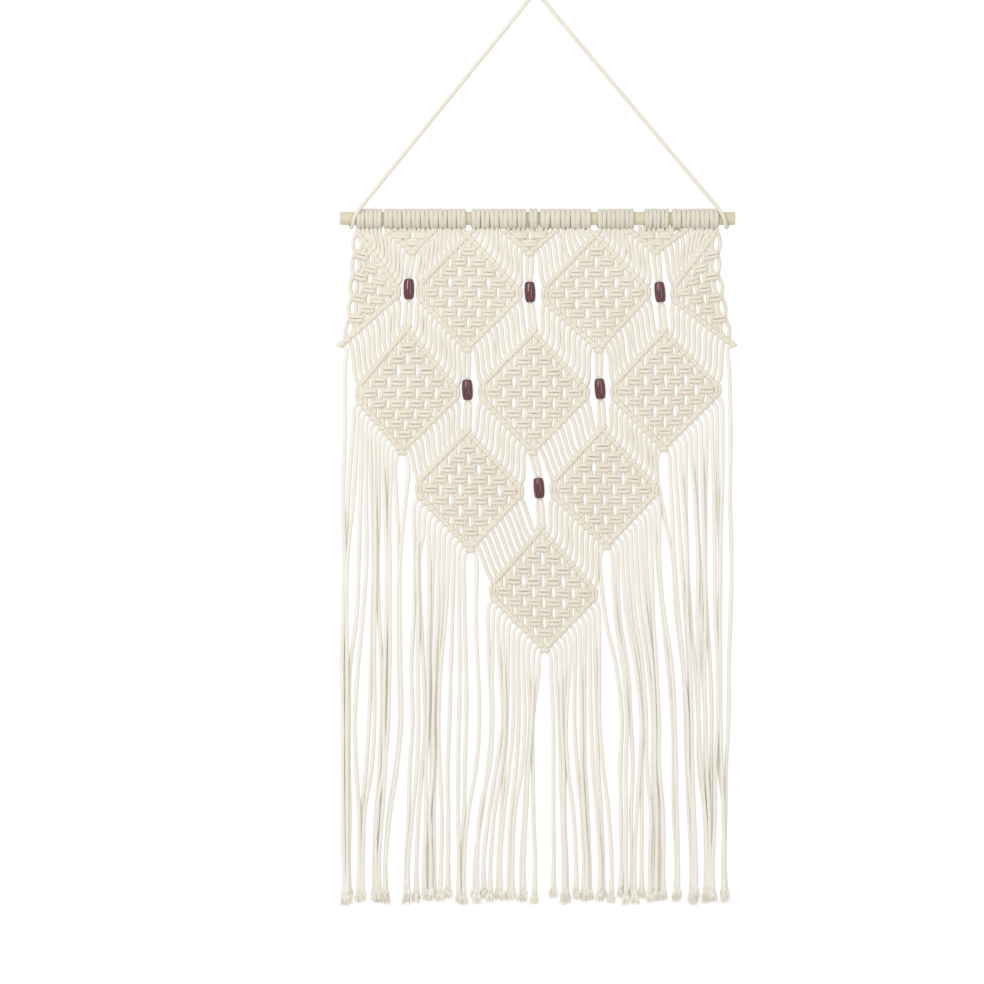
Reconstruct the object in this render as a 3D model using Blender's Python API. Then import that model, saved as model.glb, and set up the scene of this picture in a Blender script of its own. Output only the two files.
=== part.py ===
# A macrame wall hanging: 72 cotton strands mounted on a wooden dowel with lark's heads, tied into
# eight diamonds and two half diamonds of square knots with half-hitch borders, six wooden beads
# between them, and a long fringe below. A cord tied to both ends of the dowel holds it up.
#
# Sizes are in millimetres until a mesh is made. x runs to the right of the dowel's middle and
# z runs up from the dowel's axis. The front faces -Y. The world's origin is the top of the cord.

import math

import bmesh
import bpy
from mathutils import Vector

for item in list(bpy.data.objects):
    bpy.data.objects.remove(item, do_unlink=True)

MM = 0.001
CLEARANCE = 0.3

ROD_LENGTH = 400.0
ROD_DIAMETER = 13.2
ROD_END_ROUNDING = 1.2
ROD_SIDES = 32

# From the top of the hanging cord to the middle of the dowel.
ROD_RIGHT_OF_APEX = 1.5
ROD_BELOW_APEX = 226.5

# Strand cross-sections are four-sided: half the width and half the thickness of one.
STRAND_HALF = 1.72
STRANDS = 72
REPEAT = 24

# Lark's heads on the dowel: bare wood shows between one group and the next.
HEAD_GROUPS = (
    {"from_x": -180.3, "to_x": -157.9, "heads": 3},
    {"from_x": -155.4, "to_x": -72.7, "heads": 9},
    {"from_x": -66.8, "to_x": -11.3, "heads": 6},
    {"from_x": -8.3, "to_x": -0.1, "heads": 1},
    {"from_x": 2.8, "to_x": 53.9, "heads": 5},
    {"from_x": 61.0, "to_x": 97.5, "heads": 4},
    {"from_x": 108.4, "to_x": 132.8, "heads": 3},
    {"from_x": 136.2, "to_x": 183.3, "heads": 5},
)
HEAD_SIDES = 8
HEAD_RIDGE_RADIUS = 10.4
HEAD_VALLEY_RADIUS = 9.7
HEAD_BORE_RADIUS = ROD_DIAMETER / 2 + CLEARANCE
LEDGE_Z = -12.7

# The V-shaped bars under the heads, one to a repeat: the bottom of each V.
V_BARS = (
    {"middle": 12, "x": -127.1, "z": -38.5},
    {"middle": 36, "x": -7.6, "z": -39.5},
    {"middle": 60, "x": 120.0, "z": -38.0},
)
V_HITCHES = 6

# The three square knots inside a V: how far their corners lie beside and above its foot.
V_FOOT_RISE = 8.6
V_WAIST_OUT = 7.8
V_WAIST_RISE = 15.8
V_CENTRE_RISE = 21.2
V_UPPER_OUT = 19.4

# The diamonds: "first" is the number of its leftmost strand, then its four outer corners.
# The side corners are blunt, SIDE_FLAT tall. A half diamond has no corner on its open side.
DIAMONDS = (
    {"row": 1, "first": -11, "top": (-181.5, -17.8), "right": (-138.7, -74.2), "bottom": (-198.0, -132.2),
     "left": None},
    {"row": 1, "first": 13, "top": (-70.2, -15.9), "right": (-15.6, -76.2), "bottom": (-71.5, -136.6),
     "left": (-122.8, -74.2)},
    {"row": 1, "first": 37, "top": (60.0, -15.7), "right": (114.6, -74.8), "bottom": (62.4, -137.2),
     "left": (4.0, -76.8)},
    {"row": 1, "first": 61, "top": (181.0, -17.4), "right": None, "bottom": (197.0, -132.0),
     "left": (134.7, -76.0)},
    {"row": 2, "first": 1, "top": (-132.0, -109.4), "right": (-78.6, -176.8), "bottom": (-137.6, -240.8),
     "left": (-184.5, -176.8)},
    {"row": 2, "first": 25, "top": (-4.3, -110.4), "right": (52.6, -176.4), "bottom": (-4.8, -241.2),
     "left": (-60.0, -175.4)},
    {"row": 2, "first": 49, "top": (127.6, -110.0), "right": (186.0, -173.4), "bottom": (127.6, -237.8),
     "left": (74.0, -174.9)},
    {"row": 3, "first": 13, "top": (-71.8, -210.8), "right": (-14.2, -276.0), "bottom": (-68.0, -339.6),
     "left": (-123.8, -273.0)},
    {"row": 3, "first": 37, "top": (65.6, -207.8), "right": (122.0, -275.2), "bottom": (69.9, -336.6),
     "left": (12.6, -273.2)},
    {"row": 4, "first": 25, "top": (3.7, -310.8), "right": (61.0, -380.2), "bottom": (7.4, -441.6),
     "left": (-48.8, -376.8)},
)
SIDE_FLAT = {"left": 15.0, "right": 11.0}
HITCHES = 11

# Beside a top corner in the first row this many strands, and their hitches, are one plain piece.
FUSED_STRANDS = 3

# A panel's lattice: knots reach KNOT_REACH steps from its middle. Its outer corners lie
# LATTICE_U and LATTICE_V steps out, and the borders' inner edges RAIL steps.
KNOT_REACH = 4
LATTICE_U = 5.5
LATTICE_V = 6.1
RAIL = 4.6
HALF_DIAMOND_MIDDLE_Z = -69.5
HALF_EDGE_BULGE = 0.22

# How many lengths a slack strand between two bars is made of, below the first row and above it.
SLACK_PARTS = 3
UPPER_SLACK_PARTS = 2

# Openings between the square knots.
HOLE_WIDTH = 2.7
HOLE_HEIGHT = 5.4

# Half thicknesses of the net.
KNOT_CROWN = 4.4
KNOT_RIM = 2.3
EDGE_LOOP_RIM = 1.5
BORDER_RIM = 3.3
HITCH_RIDGE = 3.7
LEDGE_HALF = 3.4

# Beads: "middle" is the strand boundary they hang on, "lean" how far the foot sits to the right.
BEADS = (
    {"middle": 12, "after_row": 0, "x": -130.3, "z": -71.5, "lean": 0.0},
    {"middle": 36, "after_row": 0, "x": -7.6, "z": -74.5, "lean": 1.0},
    {"middle": 60, "after_row": 0, "x": 124.0, "z": -74.5, "lean": 2.0},
    {"middle": 24, "after_row": 1, "x": -71.0, "z": -173.5, "lean": 1.0},
    {"middle": 48, "after_row": 1, "x": 63.3, "z": -172.5, "lean": 1.5},
    {"middle": 36, "after_row": 2, "x": 1.5, "z": -273.0, "lean": 1.5},
)
BEAD_LENGTH = 20.6
BEAD_RADIUS = 5.7
BEAD_BORE_RADIUS = 3.05
BEAD_SIDES = 10

# The bead's outline as shares of its half length and of its radius.
BEAD_OUTLINE = (
    {"along": -1.0, "radius": 0.7},
    {"along": -0.84, "radius": 0.86},
    {"along": -0.35, "radius": 0.99},
    {"along": 0.35, "radius": 0.99},
    {"along": 0.84, "radius": 0.86},
    {"along": 1.0, "radius": 0.7},
)

# How two strands squeeze through a bead: along it in half lengths, down from its middle.
BEAD_PASS = (
    {"along": -1.3, "offset": 2.1, "half": 1.5},
    {"along": -1.0, "offset": 1.38, "half": 1.2},
    {"along": 1.0, "offset": 1.38, "half": 1.2},
    {"along": 1.3, "offset": 2.1, "half": 1.5},
)

# Fringe: each backing strip runs under one or both lower borders of a diamond and carries the
# strands that leave them. The net's own edge above it is cut back to make room.
FRINGES = (
    {"name": "fringe_left_outer", "diamond": 4, "edges": ("left",)},
    {"name": "fringe_left_inner", "diamond": 7, "edges": ("left",)},
    {"name": "fringe_middle", "diamond": 9, "edges": ("left", "right")},
    {"name": "fringe_right_inner", "diamond": 8, "edges": ("right",)},
    {"name": "fringe_right_outer", "diamond": 6, "edges": ("right",)},
)
STRIP_WIDTH = 2.8
STRIP_LENGTHS = 4
NET_EDGE_LENGTHS = 6

# How the fringe gathers: the first and last x of each bunch of strands at three heights.
FRINGE_BUNCHES = (
    {"first": 0, "last": 12, "upper": (-197.0, -137.5), "lower": (-200.0, -142.5), "end": (-196.0, -153.5)},
    {"first": 13, "last": 24, "upper": (-123.0, -69.5), "lower": (-130.0, -66.0), "end": (-134.0, -57.0)},
    {"first": 25, "last": 35, "upper": (-53.5, -1.0), "lower": (-60.5, -7.0), "end": (-51.0, 0.5)},
    {"first": 36, "last": 46, "upper": (16.0, 68.5), "lower": (17.0, 66.0), "end": (23.0, 71.5)},
    {"first": 47, "last": 58, "upper": (73.5, 126.0), "lower": (73.0, 126.0), "end": (76.0, 129.5)},
    {"first": 59, "last": 71, "upper": (136.5, 197.0), "lower": (133.0, 198.0), "end": (134.0, 190.5)},
)
FRINGE_UPPER_Z = -407.0
FRINGE_LOWER_Z = -589.0
FRINGE_END_Z = -694.0
FRINGE_UNEVEN = 14.0

# Neighbouring strands hang a layer apart. At its first stop one is part of the way there, and
# the upper height is left out where it lies less than a strand's least run below the bar.
FRINGE_LAYER = 2.15
FRINGE_FIRST_STOP = 22.0
FRINGE_FIRST_SPREAD = 0.45
FRINGE_LEAST_RUN = 60.0
OUTER_STRAND_ASIDE = 3.5

# Each strand sways a little to and fro, out of step with its neighbours. Angles in radians.
FRINGE_WAVE = 0.5
FRINGE_WAVE_STRAND_STEP = 2.4
FRINGE_WAVE_STOP_STEP = 1.9
FRINGE_UNEVEN_STEP = 1.7

# The hanging cord: one turn round each end of the dowel, and a leg up to the top on each side.
CORD_DIAMETER = 3.6

# Its points are spaced wide on the straight part of a leg and close elsewhere.
CORD_SAMPLE = 0.5
CORD_LEG_STEP = 10.4
CORD_WRAP_STEP = 3.2
CORD_STRAIGHT_FROM_Z = 17.6
CORD_STRAIGHT_TO_Z = ROD_BELOW_APEX - 16.0

# One turn, from the tucked end to the front of the dowel where the leg starts.
CORD_TURN = (
    {"outward": 6.0, "y": 6.6, "z": 6.4},
    {"outward": 5.5, "y": 9.1, "z": 0.6},
    {"outward": 4.6, "y": 6.8, "z": -6.0},
    {"outward": 3.4, "y": 0.4, "z": -9.1},
    {"outward": 1.8, "y": -6.4, "z": -6.4},
    {"outward": 0.0, "y": -9.2, "z": 0.5},
)
CORD_LEFT_TURN_X = -185.2
CORD_RIGHT_TURN_X = 188.2
CORD_LEG_FOOT_Z = 9.6
CORD_LEG_FOOT_Y = -8.9
CORD_LEG_FOOT_INWARD = 5.7
CORD_SHOULDER_RUN = 7.05
CORD_SHOULDER_DROP = 3.4

# Where a leg's points lie between its foot and its shoulder.
CORD_LEG_SHARES = (0, 0.06, 0.5, 0.94, 1)


def srgb(code):
    channels = [int(code[i:i + 2], 16) / 255 for i in (0, 2, 4)]
    return [c / 12.92 if c <= 0.04045 else ((c + 0.055) / 1.055) ** 2.4 for c in channels]


def make_material(name, code, roughness):
    material = bpy.data.materials.new(name)
    material.use_nodes = True
    shader = material.node_tree.nodes["Principled BSDF"]
    shader.inputs["Base Color"].default_value = (*srgb(code), 1.0)
    shader.inputs["Roughness"].default_value = roughness
    shader.inputs["Metallic"].default_value = 0.0
    return material


def world(x, y, z):
    return ((x + ROD_RIGHT_OF_APEX) * MM, y * MM, (z - ROD_BELOW_APEX) * MM)


def add_object(name, data, material, smooth=False):
    data.materials.append(material)
    made = bpy.data.objects.new(name, data)
    bpy.context.scene.collection.objects.link(made)
    if smooth:
        for face in data.polygons:
            face.use_smooth = True
    return made


def mix(a, b, t):
    return a + (b - a) * t


def between(p, q, t):
    return (mix(p[0], q[0], t), mix(p[1], q[1], t))


def shifted_inward(p, q, inside, distance):
    # The line from p to q, moved toward the point "inside" by a distance at right angles to it.
    along_x = q[0] - p[0]
    along_z = q[1] - p[1]
    length = math.hypot(along_x, along_z)
    normal = (-along_z / length, along_x / length)
    if (inside[0] - p[0]) * normal[0] + (inside[1] - p[1]) * normal[1] < 0:
        normal = (-normal[0], -normal[1])
    step = (normal[0] * distance, normal[1] * distance)
    return (p[0] + step[0], p[1] + step[1]), (q[0] + step[0], q[1] + step[1])


def crossing(a, b, c, d):
    # Where the line through a and b meets the line through c and d.
    r = (b[0] - a[0], b[1] - a[1])
    s = (d[0] - c[0], d[1] - c[1])
    t = ((c[0] - a[0]) * s[1] - (c[1] - a[1]) * s[0]) / (r[0] * s[1] - r[1] * s[0])
    return (a[0] + r[0] * t, a[1] + r[1] * t)


class Web:
    """Flat cells that share points. Each point has a front and a back vertex, or one for both
    where the web thins to an edge, so closing the rim gives one solid with real openings."""

    def __init__(self):
        self.vertices = []
        self.faces = []
        self.cells = []
        self.joined = set()

    def vertex(self, x, y, z):
        self.vertices.append(world(x, y, z))
        return len(self.vertices) - 1

    def point(self, place, half, y=0.0):
        x, z = place
        front = self.vertex(x, y - half, z)
        back = front if half == 0 else self.vertex(x, y + half, z)
        return {"x": x, "z": z, "front": front, "back": back}

    def cell(self, points, crown=0.0):
        ring = [p for i, p in enumerate(points) if p is not points[i - 1]]
        if len({id(p) for p in ring}) < 3:
            return
        self.cells.append(ring)
        sides = list(zip(ring, ring[1:] + ring[:1]))
        if crown == 0.0:
            self.faces.append([p["front"] for p in ring])
            self.faces.append([p["back"] for p in reversed(ring)])
            return
        middle = (sum(p["x"] for p in ring) / len(ring), sum(p["z"] for p in ring) / len(ring))
        top = self.point(middle, crown)
        for a, b in sides:
            self.faces.append([a["front"], b["front"], top["front"]])
            self.faces.append([b["back"], a["back"], top["back"]])

    def zip_rails(self, rail_a, rail_b):
        # Triangles between two rails that run side by side.
        i = 0
        j = 0
        while i < len(rail_a) - 1 or j < len(rail_b) - 1:
            step_a = math.inf
            step_b = math.inf
            if i < len(rail_a) - 1:
                step_a = math.hypot(rail_a[i + 1]["x"] - rail_b[j]["x"], rail_a[i + 1]["z"] - rail_b[j]["z"])
            if j < len(rail_b) - 1:
                step_b = math.hypot(rail_b[j + 1]["x"] - rail_a[i]["x"], rail_b[j + 1]["z"] - rail_a[i]["z"])
            if step_a <= step_b:
                self.cell([rail_a[i], rail_a[i + 1], rail_b[j]])
                i += 1
            else:
                self.cell([rail_a[i], rail_b[j + 1], rail_b[j]])
                j += 1

    def strand(self, top, sections, bottom):
        # Each end and each section is (left, ridge, right).
        steps = [top] + sections + ([bottom] if bottom else [])
        for upper, lower in zip(steps, steps[1:]):
            self.cell([upper[0], lower[0], lower[1], upper[1]])
            self.cell([upper[1], lower[1], lower[2], upper[2]])

    def section(self, x, z, half, y=0.0):
        return (
            self.point((x - half, z), 0, y),
            self.point((x, z), half, y),
            self.point((x + half, z), 0, y),
        )

    def close_rim(self):
        uses = {}
        for ring in self.cells:
            for a, b in zip(ring, ring[1:] + ring[:1]):
                key = frozenset((id(a), id(b)))
                uses.setdefault(key, []).append((a, b))
        for key, found in uses.items():
            if len(found) > 1 or key in self.joined:
                continue
            a, b = found[0]
            wall = [b["front"], a["front"], a["back"], b["back"]]
            wall = [v for i, v in enumerate(wall) if v != wall[i - 1]]
            if len(wall) > 2:
                self.faces.append(wall)

    def make(self, name, material):
        self.close_rim()
        mesh = bpy.data.meshes.new(name)
        mesh.from_pydata(self.vertices, [], self.faces)
        shaped = bmesh.new()
        shaped.from_mesh(mesh)
        loose = [v for v in shaped.verts if not v.link_faces]
        bmesh.ops.delete(shaped, geom=loose, context="VERTS")
        bmesh.ops.triangulate(shaped, faces=shaped.faces)
        bmesh.ops.recalc_face_normals(shaped, faces=shaped.faces)
        shaped.to_mesh(mesh)
        shaped.free()
        return add_object(name, mesh, material)


def head_stations():
    # Boundaries between strands where they leave the dowel, and the rings each group is built on.
    boundaries = []
    groups = []
    for group in HEAD_GROUPS:
        pitch = (group["to_x"] - group["from_x"]) / group["heads"]
        rings = []
        for k in range(group["heads"]):
            left = group["from_x"] + k * pitch
            rings.append((left, HEAD_VALLEY_RADIUS))
            rings.append((left + pitch / 2, HEAD_RIDGE_RADIUS))
            boundaries.append(left)
            boundaries.append(left + pitch / 2)
        rings.append((group["to_x"], HEAD_VALLEY_RADIUS))
        groups.append(rings)
    boundaries.append(HEAD_GROUPS[-1]["to_x"])
    return boundaries, groups


def add_heads(net, groups):
    # One grooved collar round the dowel for each group. Its open foot is the net's top rail.
    turn = math.tau / HEAD_SIDES
    first_angle = -math.pi / 2 + turn / 2
    bore = HEAD_BORE_RADIUS / math.cos(turn / 2)
    top_rail = []
    for rings in groups:
        outer = []
        rail = []
        for x, radius in rings:
            foot = net.point((x, -radius * math.cos(turn / 2)), radius * math.sin(turn / 2))
            ring = [foot["back"]]
            for k in range(1, HEAD_SIDES - 1):
                angle = first_angle + k * turn
                ring.append(net.vertex(x, radius * math.cos(angle), radius * math.sin(angle)))
            ring.append(foot["front"])
            outer.append(ring)
            rail.append(foot)
        for near, far in zip(outer, outer[1:]):
            for k in range(HEAD_SIDES - 1):
                net.faces.append([near[k], near[k + 1], far[k + 1], far[k]])
        inner = []
        for x in (rings[0][0], rings[-1][0]):
            angles = [first_angle + k * turn for k in range(HEAD_SIDES)]
            inner.append([net.vertex(x, bore * math.cos(a), bore * math.sin(a)) for a in angles])
        for k in range(HEAD_SIDES):
            n = (k + 1) % HEAD_SIDES
            net.faces.append([inner[0][k], inner[0][n], inner[1][n], inner[1][k]])
            net.faces.append([outer[0][k], outer[0][n], inner[0][n], inner[0][k]])
            net.faces.append([outer[-1][k], outer[-1][n], inner[1][n], inner[1][k]])
        for a, b in zip(rail, rail[1:]):
            net.joined.add(frozenset((id(a), id(b))))
        top_rail += rail
    return top_rail


def place_in_diamond(corners):
    # Lattice to millimetres: u counts two strands to the right, v counts rows of knots down.
    top, right, bottom, left = (corners[k] for k in ("top", "right", "bottom", "left"))
    middle_x = (left[0] + right[0]) / 2
    middle_z = (left[1] + right[1]) / 2

    def place(u, v):
        end, share = (bottom, v / LATTICE_V) if v > 0 else (top, -v / LATTICE_V)
        side = u / LATTICE_U
        x = middle_x + (end[0] - middle_x) * share + side * (right[0] - left[0]) / 2
        z = middle_z + (end[1] - middle_z) * share + side * (right[1] - left[1]) / 2
        return (x, z)

    return place


def place_in_half(corners, open_side):
    # Here u counts in from the open side, which runs between the two end corners.
    tip = corners["right"] if open_side == "left" else corners["left"]
    top = corners["top"]
    bottom = corners["bottom"]

    def place(u, v):
        z = mix(HALF_DIAMOND_MIDDLE_Z, tip[1], u / LATTICE_U)
        end, share = (bottom, v / LATTICE_V) if v > 0 else (top, -v / LATTICE_V)
        z = z + (end[1] - HALF_DIAMOND_MIDDLE_Z) * share
        edge_x = mix(top[0], bottom[0], (z - top[1]) / (bottom[1] - top[1]))
        middle_edge = mix(top[0], bottom[0], (tip[1] - top[1]) / (bottom[1] - top[1]))
        return (edge_x + (tip[0] - middle_edge) * u / LATTICE_U, z)

    return place


class Lattice:
    """The square knots of one panel and the openings between them."""

    def __init__(self, net, place, unit_x, unit_z):
        self.net = net
        self.place = place
        self.half_u = HOLE_WIDTH / 2 / unit_x
        self.half_v = HOLE_HEIGHT / 2 / unit_z
        self.points = {}

    def point(self, u, v, half):
        key = (round(u, 4), round(v, 4))
        if key not in self.points:
            self.points[key] = self.net.point(self.place(u, v), half)
        return self.points[key]

    def corner(self, u, v, to_u, to_v):
        # The corner of opening (u, v) toward to_u, to_v, or the border's inner rail beyond them.
        if abs(u) + abs(v) <= KNOT_REACH:
            return self.point(u + to_u * self.half_u, v + to_v * self.half_v, KNOT_RIM)
        inset = KNOT_REACH + 1 - RAIL
        if u != 0 and v != 0:
            inset /= 2
        u -= math.copysign(inset, u) if u else 0
        v -= math.copysign(inset, v) if v else 0
        return self.point(u, v, BORDER_RIM)

    def knot(self, u, v):
        ring = [
            self.corner(u - 1, v, 1, -1), self.corner(u - 1, v, 1, 1),
            self.corner(u, v + 1, -1, -1), self.corner(u, v + 1, 1, -1),
            self.corner(u + 1, v, -1, 1), self.corner(u + 1, v, -1, -1),
            self.corner(u, v - 1, 1, 1), self.corner(u, v - 1, -1, 1),
        ]
        self.net.cell(ring, crown=KNOT_CROWN)

    def edge_loop(self, v):
        # The two outermost strands, which pass a row by and bow out.
        if abs(v) < KNOT_REACH:
            bow = self.point(-HALF_EDGE_BULGE, v, EDGE_LOOP_RIM)
            ring = [self.corner(0, v - 1, 1, 1), bow, self.corner(0, v + 1, 1, -1)]
            ring += [self.corner(1, v, -1, 1), self.corner(1, v, -1, -1)]
        elif v < 0:
            ring = [self.corner(0, v - 1, 0, 0), self.corner(0, v + 1, 1, -1), self.corner(1, v, 0, 0)]
        else:
            ring = [self.corner(0, v - 1, 1, 1), self.corner(0, v + 1, 0, 0), self.corner(1, v, 0, 0)]
        self.net.cell(ring)

    def plug(self, u, v):
        # An opening too small to show from a step away stays shut.
        self.net.cell([self.corner(u, v, a, b) for a, b in ((-1, -1), (-1, 1), (1, 1), (1, -1))])

    def rail(self, to_u, to_v):
        # The inner rail from the side corner toward to_u to the end corner toward to_v.
        edge = KNOT_REACH + 1
        return [self.corner(to_u * (edge - k), to_v * k, 0, 0) for k in range(edge + 1)]

    def fill(self, whole):
        for u in range(-KNOT_REACH if whole else 0, KNOT_REACH + 1):
            for v in range(abs(u) - KNOT_REACH, KNOT_REACH - abs(u) + 1):
                is_knot = (u + v) % 2 == 0
                if is_knot and (whole or u > 0):
                    self.knot(u, v)
                elif is_knot:
                    self.edge_loop(v)
                elif whole and u == 0 and abs(v) == KNOT_REACH - 1:
                    self.plug(u, v)


def hitch_rail(net, start, end, count, plain=0, shared_start=None, shared_end=None):
    # The outer rail of a bar: a valley, then for each hitch its ridge and the next valley.
    # The last "plain" hitches lie against solid stuff and need no ridge.
    points = [shared_start or net.point(start, 0)]
    for k in range(count):
        smooth = k >= count - plain
        if not smooth:
            points.append(net.point(between(start, end, (k + 0.5) / count), HITCH_RIDGE))
        if k == count - 1 and shared_end:
            points.append(shared_end)
            continue
        half = BORDER_RIM if smooth else 0
        points.append(net.point(between(start, end, (k + 1) / count), half))
    return points


def hitch_roots(rail):
    # (left, ridge, right) of each hitch on a rail, in the rail's own order.
    return [(rail[k], rail[k + 1], rail[k + 2]) for k in range(0, len(rail) - 2, 2)]


def facing_right(root):
    return root if root[0]["x"] < root[2]["x"] else (root[2], root[1], root[0])


def bead_sections(net, bead, side):
    sections = []
    for stage in BEAD_PASS:
        x = bead["x"] + bead["lean"] / 2 * stage["along"] + side * stage["offset"]
        z = bead["z"] - BEAD_LENGTH / 2 * stage["along"]
        sections.append(net.section(x, z, stage["half"]))
    return sections


def slack_sections(net, top, bottom, parts):
    # A strand between two bars leaves and meets them upright, so it bends both ways.
    sections = []
    for k in range(1, parts):
        t = k / parts
        ease = t * t * (3 - 2 * t)
        x = mix(top[1]["x"], bottom[1]["x"], ease)
        z = mix(top[1]["z"], bottom[1]["z"], t)
        sections.append(net.section(x, z, STRAND_HALF))
    return sections


def fringe_x(strand, column):
    for bunch in FRINGE_BUNCHES:
        if bunch["first"] <= strand <= bunch["last"]:
            first_x, last_x = bunch[column]
            return mix(first_x, last_x, (strand - bunch["first"]) / (bunch["last"] - bunch["first"]))


def add_fringe_strand(web, strand, root, aside=0.0):
    root = facing_right(root)
    layer = FRINGE_LAYER if strand % 2 else -FRINGE_LAYER
    root_z = root[1]["z"]
    end_z = FRINGE_END_Z + FRINGE_UNEVEN * abs(math.sin(strand * FRINGE_UNEVEN_STEP))
    stops = [(root_z - FRINGE_FIRST_STOP, root[1]["x"] + aside, FRINGE_FIRST_SPREAD)]
    if root_z > FRINGE_UPPER_Z + FRINGE_LEAST_RUN:
        stops.append((FRINGE_UPPER_Z, fringe_x(strand, "upper"), 1.0))
    stops.append((FRINGE_LOWER_Z, fringe_x(strand, "lower"), 1.0))
    stops.append((end_z, fringe_x(strand, "end"), 1.0))
    sections = []
    for k, (z, x, spread) in enumerate(stops):
        sway = FRINGE_WAVE * math.sin(strand * FRINGE_WAVE_STRAND_STEP + k * FRINGE_WAVE_STOP_STEP)
        sections.append(web.section(x + sway, z, STRAND_HALF, layer * spread))
    web.strand(root, sections, None)


def outer_corners(diamond):
    # Where the four bars begin and end: the blunt sides give two corners each.
    places = {"top": diamond["top"], "bottom": diamond["bottom"]}
    for side in ("left", "right"):
        if diamond[side]:
            x, z = diamond[side]
            places[side + "_upper"] = (x, z + SIDE_FLAT[side] / 2)
            places[side + "_lower"] = (x, z - SIDE_FLAT[side] / 2)
    return places


def strip_lines(diamond, side):
    # A fringed border is shared by the net's edge and the strip: both lines, from side to bottom.
    places = outer_corners(diamond)
    start = places[side + "_lower"]
    end = places["bottom"]
    inside = between(diamond["top"], diamond["bottom"], 0.5)
    strip_inner = shifted_inward(start, end, inside, STRIP_WIDTH)
    net_outer = shifted_inward(start, end, inside, STRIP_WIDTH + CLEARANCE)
    return (start, end), strip_inner, net_outer


def fringed_sides(index):
    for fringe in FRINGES:
        if fringe["diamond"] == index:
            return fringe["edges"]
    return ()


def at_x(line, x):
    # The point of a line that stands at a given x.
    (x0, z0), (x1, z1) = line
    return (x, mix(z0, z1, (x - x0) / (x1 - x0)))


def ledge_run(net, boundaries, strands, start, hanging, end=None):
    # The ledge over a run of strands, each with its ridge and the valley beyond it. The run's
    # last valley may be a point that is already there.
    rail = [start]
    for k in strands:
        ridge = net.point(((boundaries[k] + boundaries[k + 1]) / 2, LEDGE_Z), LEDGE_HALF)
        valley = end if end and k == strands[-1] else net.point((boundaries[k + 1], LEDGE_Z), 0)
        hanging[k] = (rail[-1], ridge, valley)
        rail += [ridge, valley]
    return rail


def add_v_bar(net, v_bar, boundaries, hanging, fused):
    # One repeat below the heads: a V-shaped bar with three square knots in it, and the ledge on
    # either side, which strands leave directly. The ledge's lower rail is handed back.
    middle = v_bar["middle"]
    foot = (v_bar["x"], v_bar["z"])
    arm_left = net.point((boundaries[middle - V_HITCHES], LEDGE_Z), BORDER_RIM)
    arm_right = net.point((boundaries[middle + V_HITCHES], LEDGE_Z), BORDER_RIM)
    arm_foot = net.point(foot, 0)
    left_end = (arm_left["x"], LEDGE_Z)
    right_end = (arm_right["x"], LEDGE_Z)
    left_rail = hitch_rail(net, left_end, foot, V_HITCHES, 0, arm_left, arm_foot)
    right_rail = hitch_rail(net, foot, right_end, V_HITCHES, 0, arm_foot, arm_right)
    for k, root in enumerate(hitch_roots(left_rail)):
        hanging[middle - V_HITCHES + k] = root
    for k, root in enumerate(hitch_roots(right_rail)):
        hanging[middle + k] = root

    low = net.point((foot[0], foot[1] + V_FOOT_RISE), BORDER_RIM)
    waist = [net.point((foot[0] + s * V_WAIST_OUT, foot[1] + V_WAIST_RISE), BORDER_RIM) for s in (-1, 1)]
    centre = net.point((foot[0], foot[1] + V_CENTRE_RISE), KNOT_RIM)
    upper = [net.point((foot[0] + s * V_UPPER_OUT, LEDGE_Z), BORDER_RIM) for s in (-1, 1)]
    over = net.point((foot[0], LEDGE_Z), KNOT_RIM)
    net.cell([waist[0], low, waist[1], centre], crown=KNOT_CROWN)
    net.cell([upper[0], waist[0], centre, over], crown=KNOT_CROWN)
    net.cell([over, centre, waist[1], upper[1]], crown=KNOT_CROWN)
    net.zip_rails(left_rail, [upper[0], waist[0], low])
    net.zip_rails([low, waist[1], upper[1]], right_rail)

    free = REPEAT // 2 - FUSED_STRANDS
    start = net.point((boundaries[middle - free], LEDGE_Z), 0)
    left_strands = range(middle - free, middle - V_HITCHES)
    right_strands = range(middle + V_HITCHES, middle + free)
    ledge = ledge_run(net, boundaries, left_strands, start, hanging, arm_left)
    ledge += [upper[0], over, upper[1]]
    ledge += ledge_run(net, boundaries, right_strands, arm_right, hanging)
    fused[middle - free] = start
    fused[middle + free] = ledge[-1]
    return ledge


def build_net(material):
    net = Web()
    boundaries, groups = head_stations()
    top_rail = add_heads(net, groups)

    # "hanging" holds the root that each strand leaves next, "fused" the ledge's points over the
    # plain pieces at the top corners of the first row.
    hanging = {}
    fused = {k: net.point((boundaries[k], LEDGE_Z), LEDGE_HALF) for k in range(0, STRANDS + 1, REPEAT)}
    ledge = [fused[0]]
    for v_bar in V_BARS:
        ledge += add_v_bar(net, v_bar, boundaries, hanging, fused)
        ledge.append(fused[v_bar["middle"] + REPEAT // 2])
    net.zip_rails(top_rail, ledge)

    for index, diamond in enumerate(DIAMONDS):
        add_diamond(net, diamond, fringed_sides(index), hanging, fused)

    # The outermost strand on each side hangs free from the first row to the fringe's end.
    add_fringe_strand(net, 0, hanging[0], -OUTER_STRAND_ASIDE)
    add_fringe_strand(net, STRANDS - 1, hanging[STRANDS - 1], OUTER_STRAND_ASIDE)
    return net.make("macrame_net", material)


def panel_lattice(net, diamond, whole):
    if whole:
        place = place_in_diamond(diamond)
        half_width = (diamond["right"][0] - diamond["left"][0]) / 2
    else:
        place = place_in_half(diamond, "left" if diamond["left"] is None else "right")
        tip = diamond["right"] or diamond["left"]
        half_width = abs(tip[0] - (diamond["top"][0] + diamond["bottom"][0]) / 2)
    half_height = (diamond["top"][1] - diamond["bottom"][1]) / 2
    return Lattice(net, place, half_width / LATTICE_U, half_height / LATTICE_V)


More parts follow.
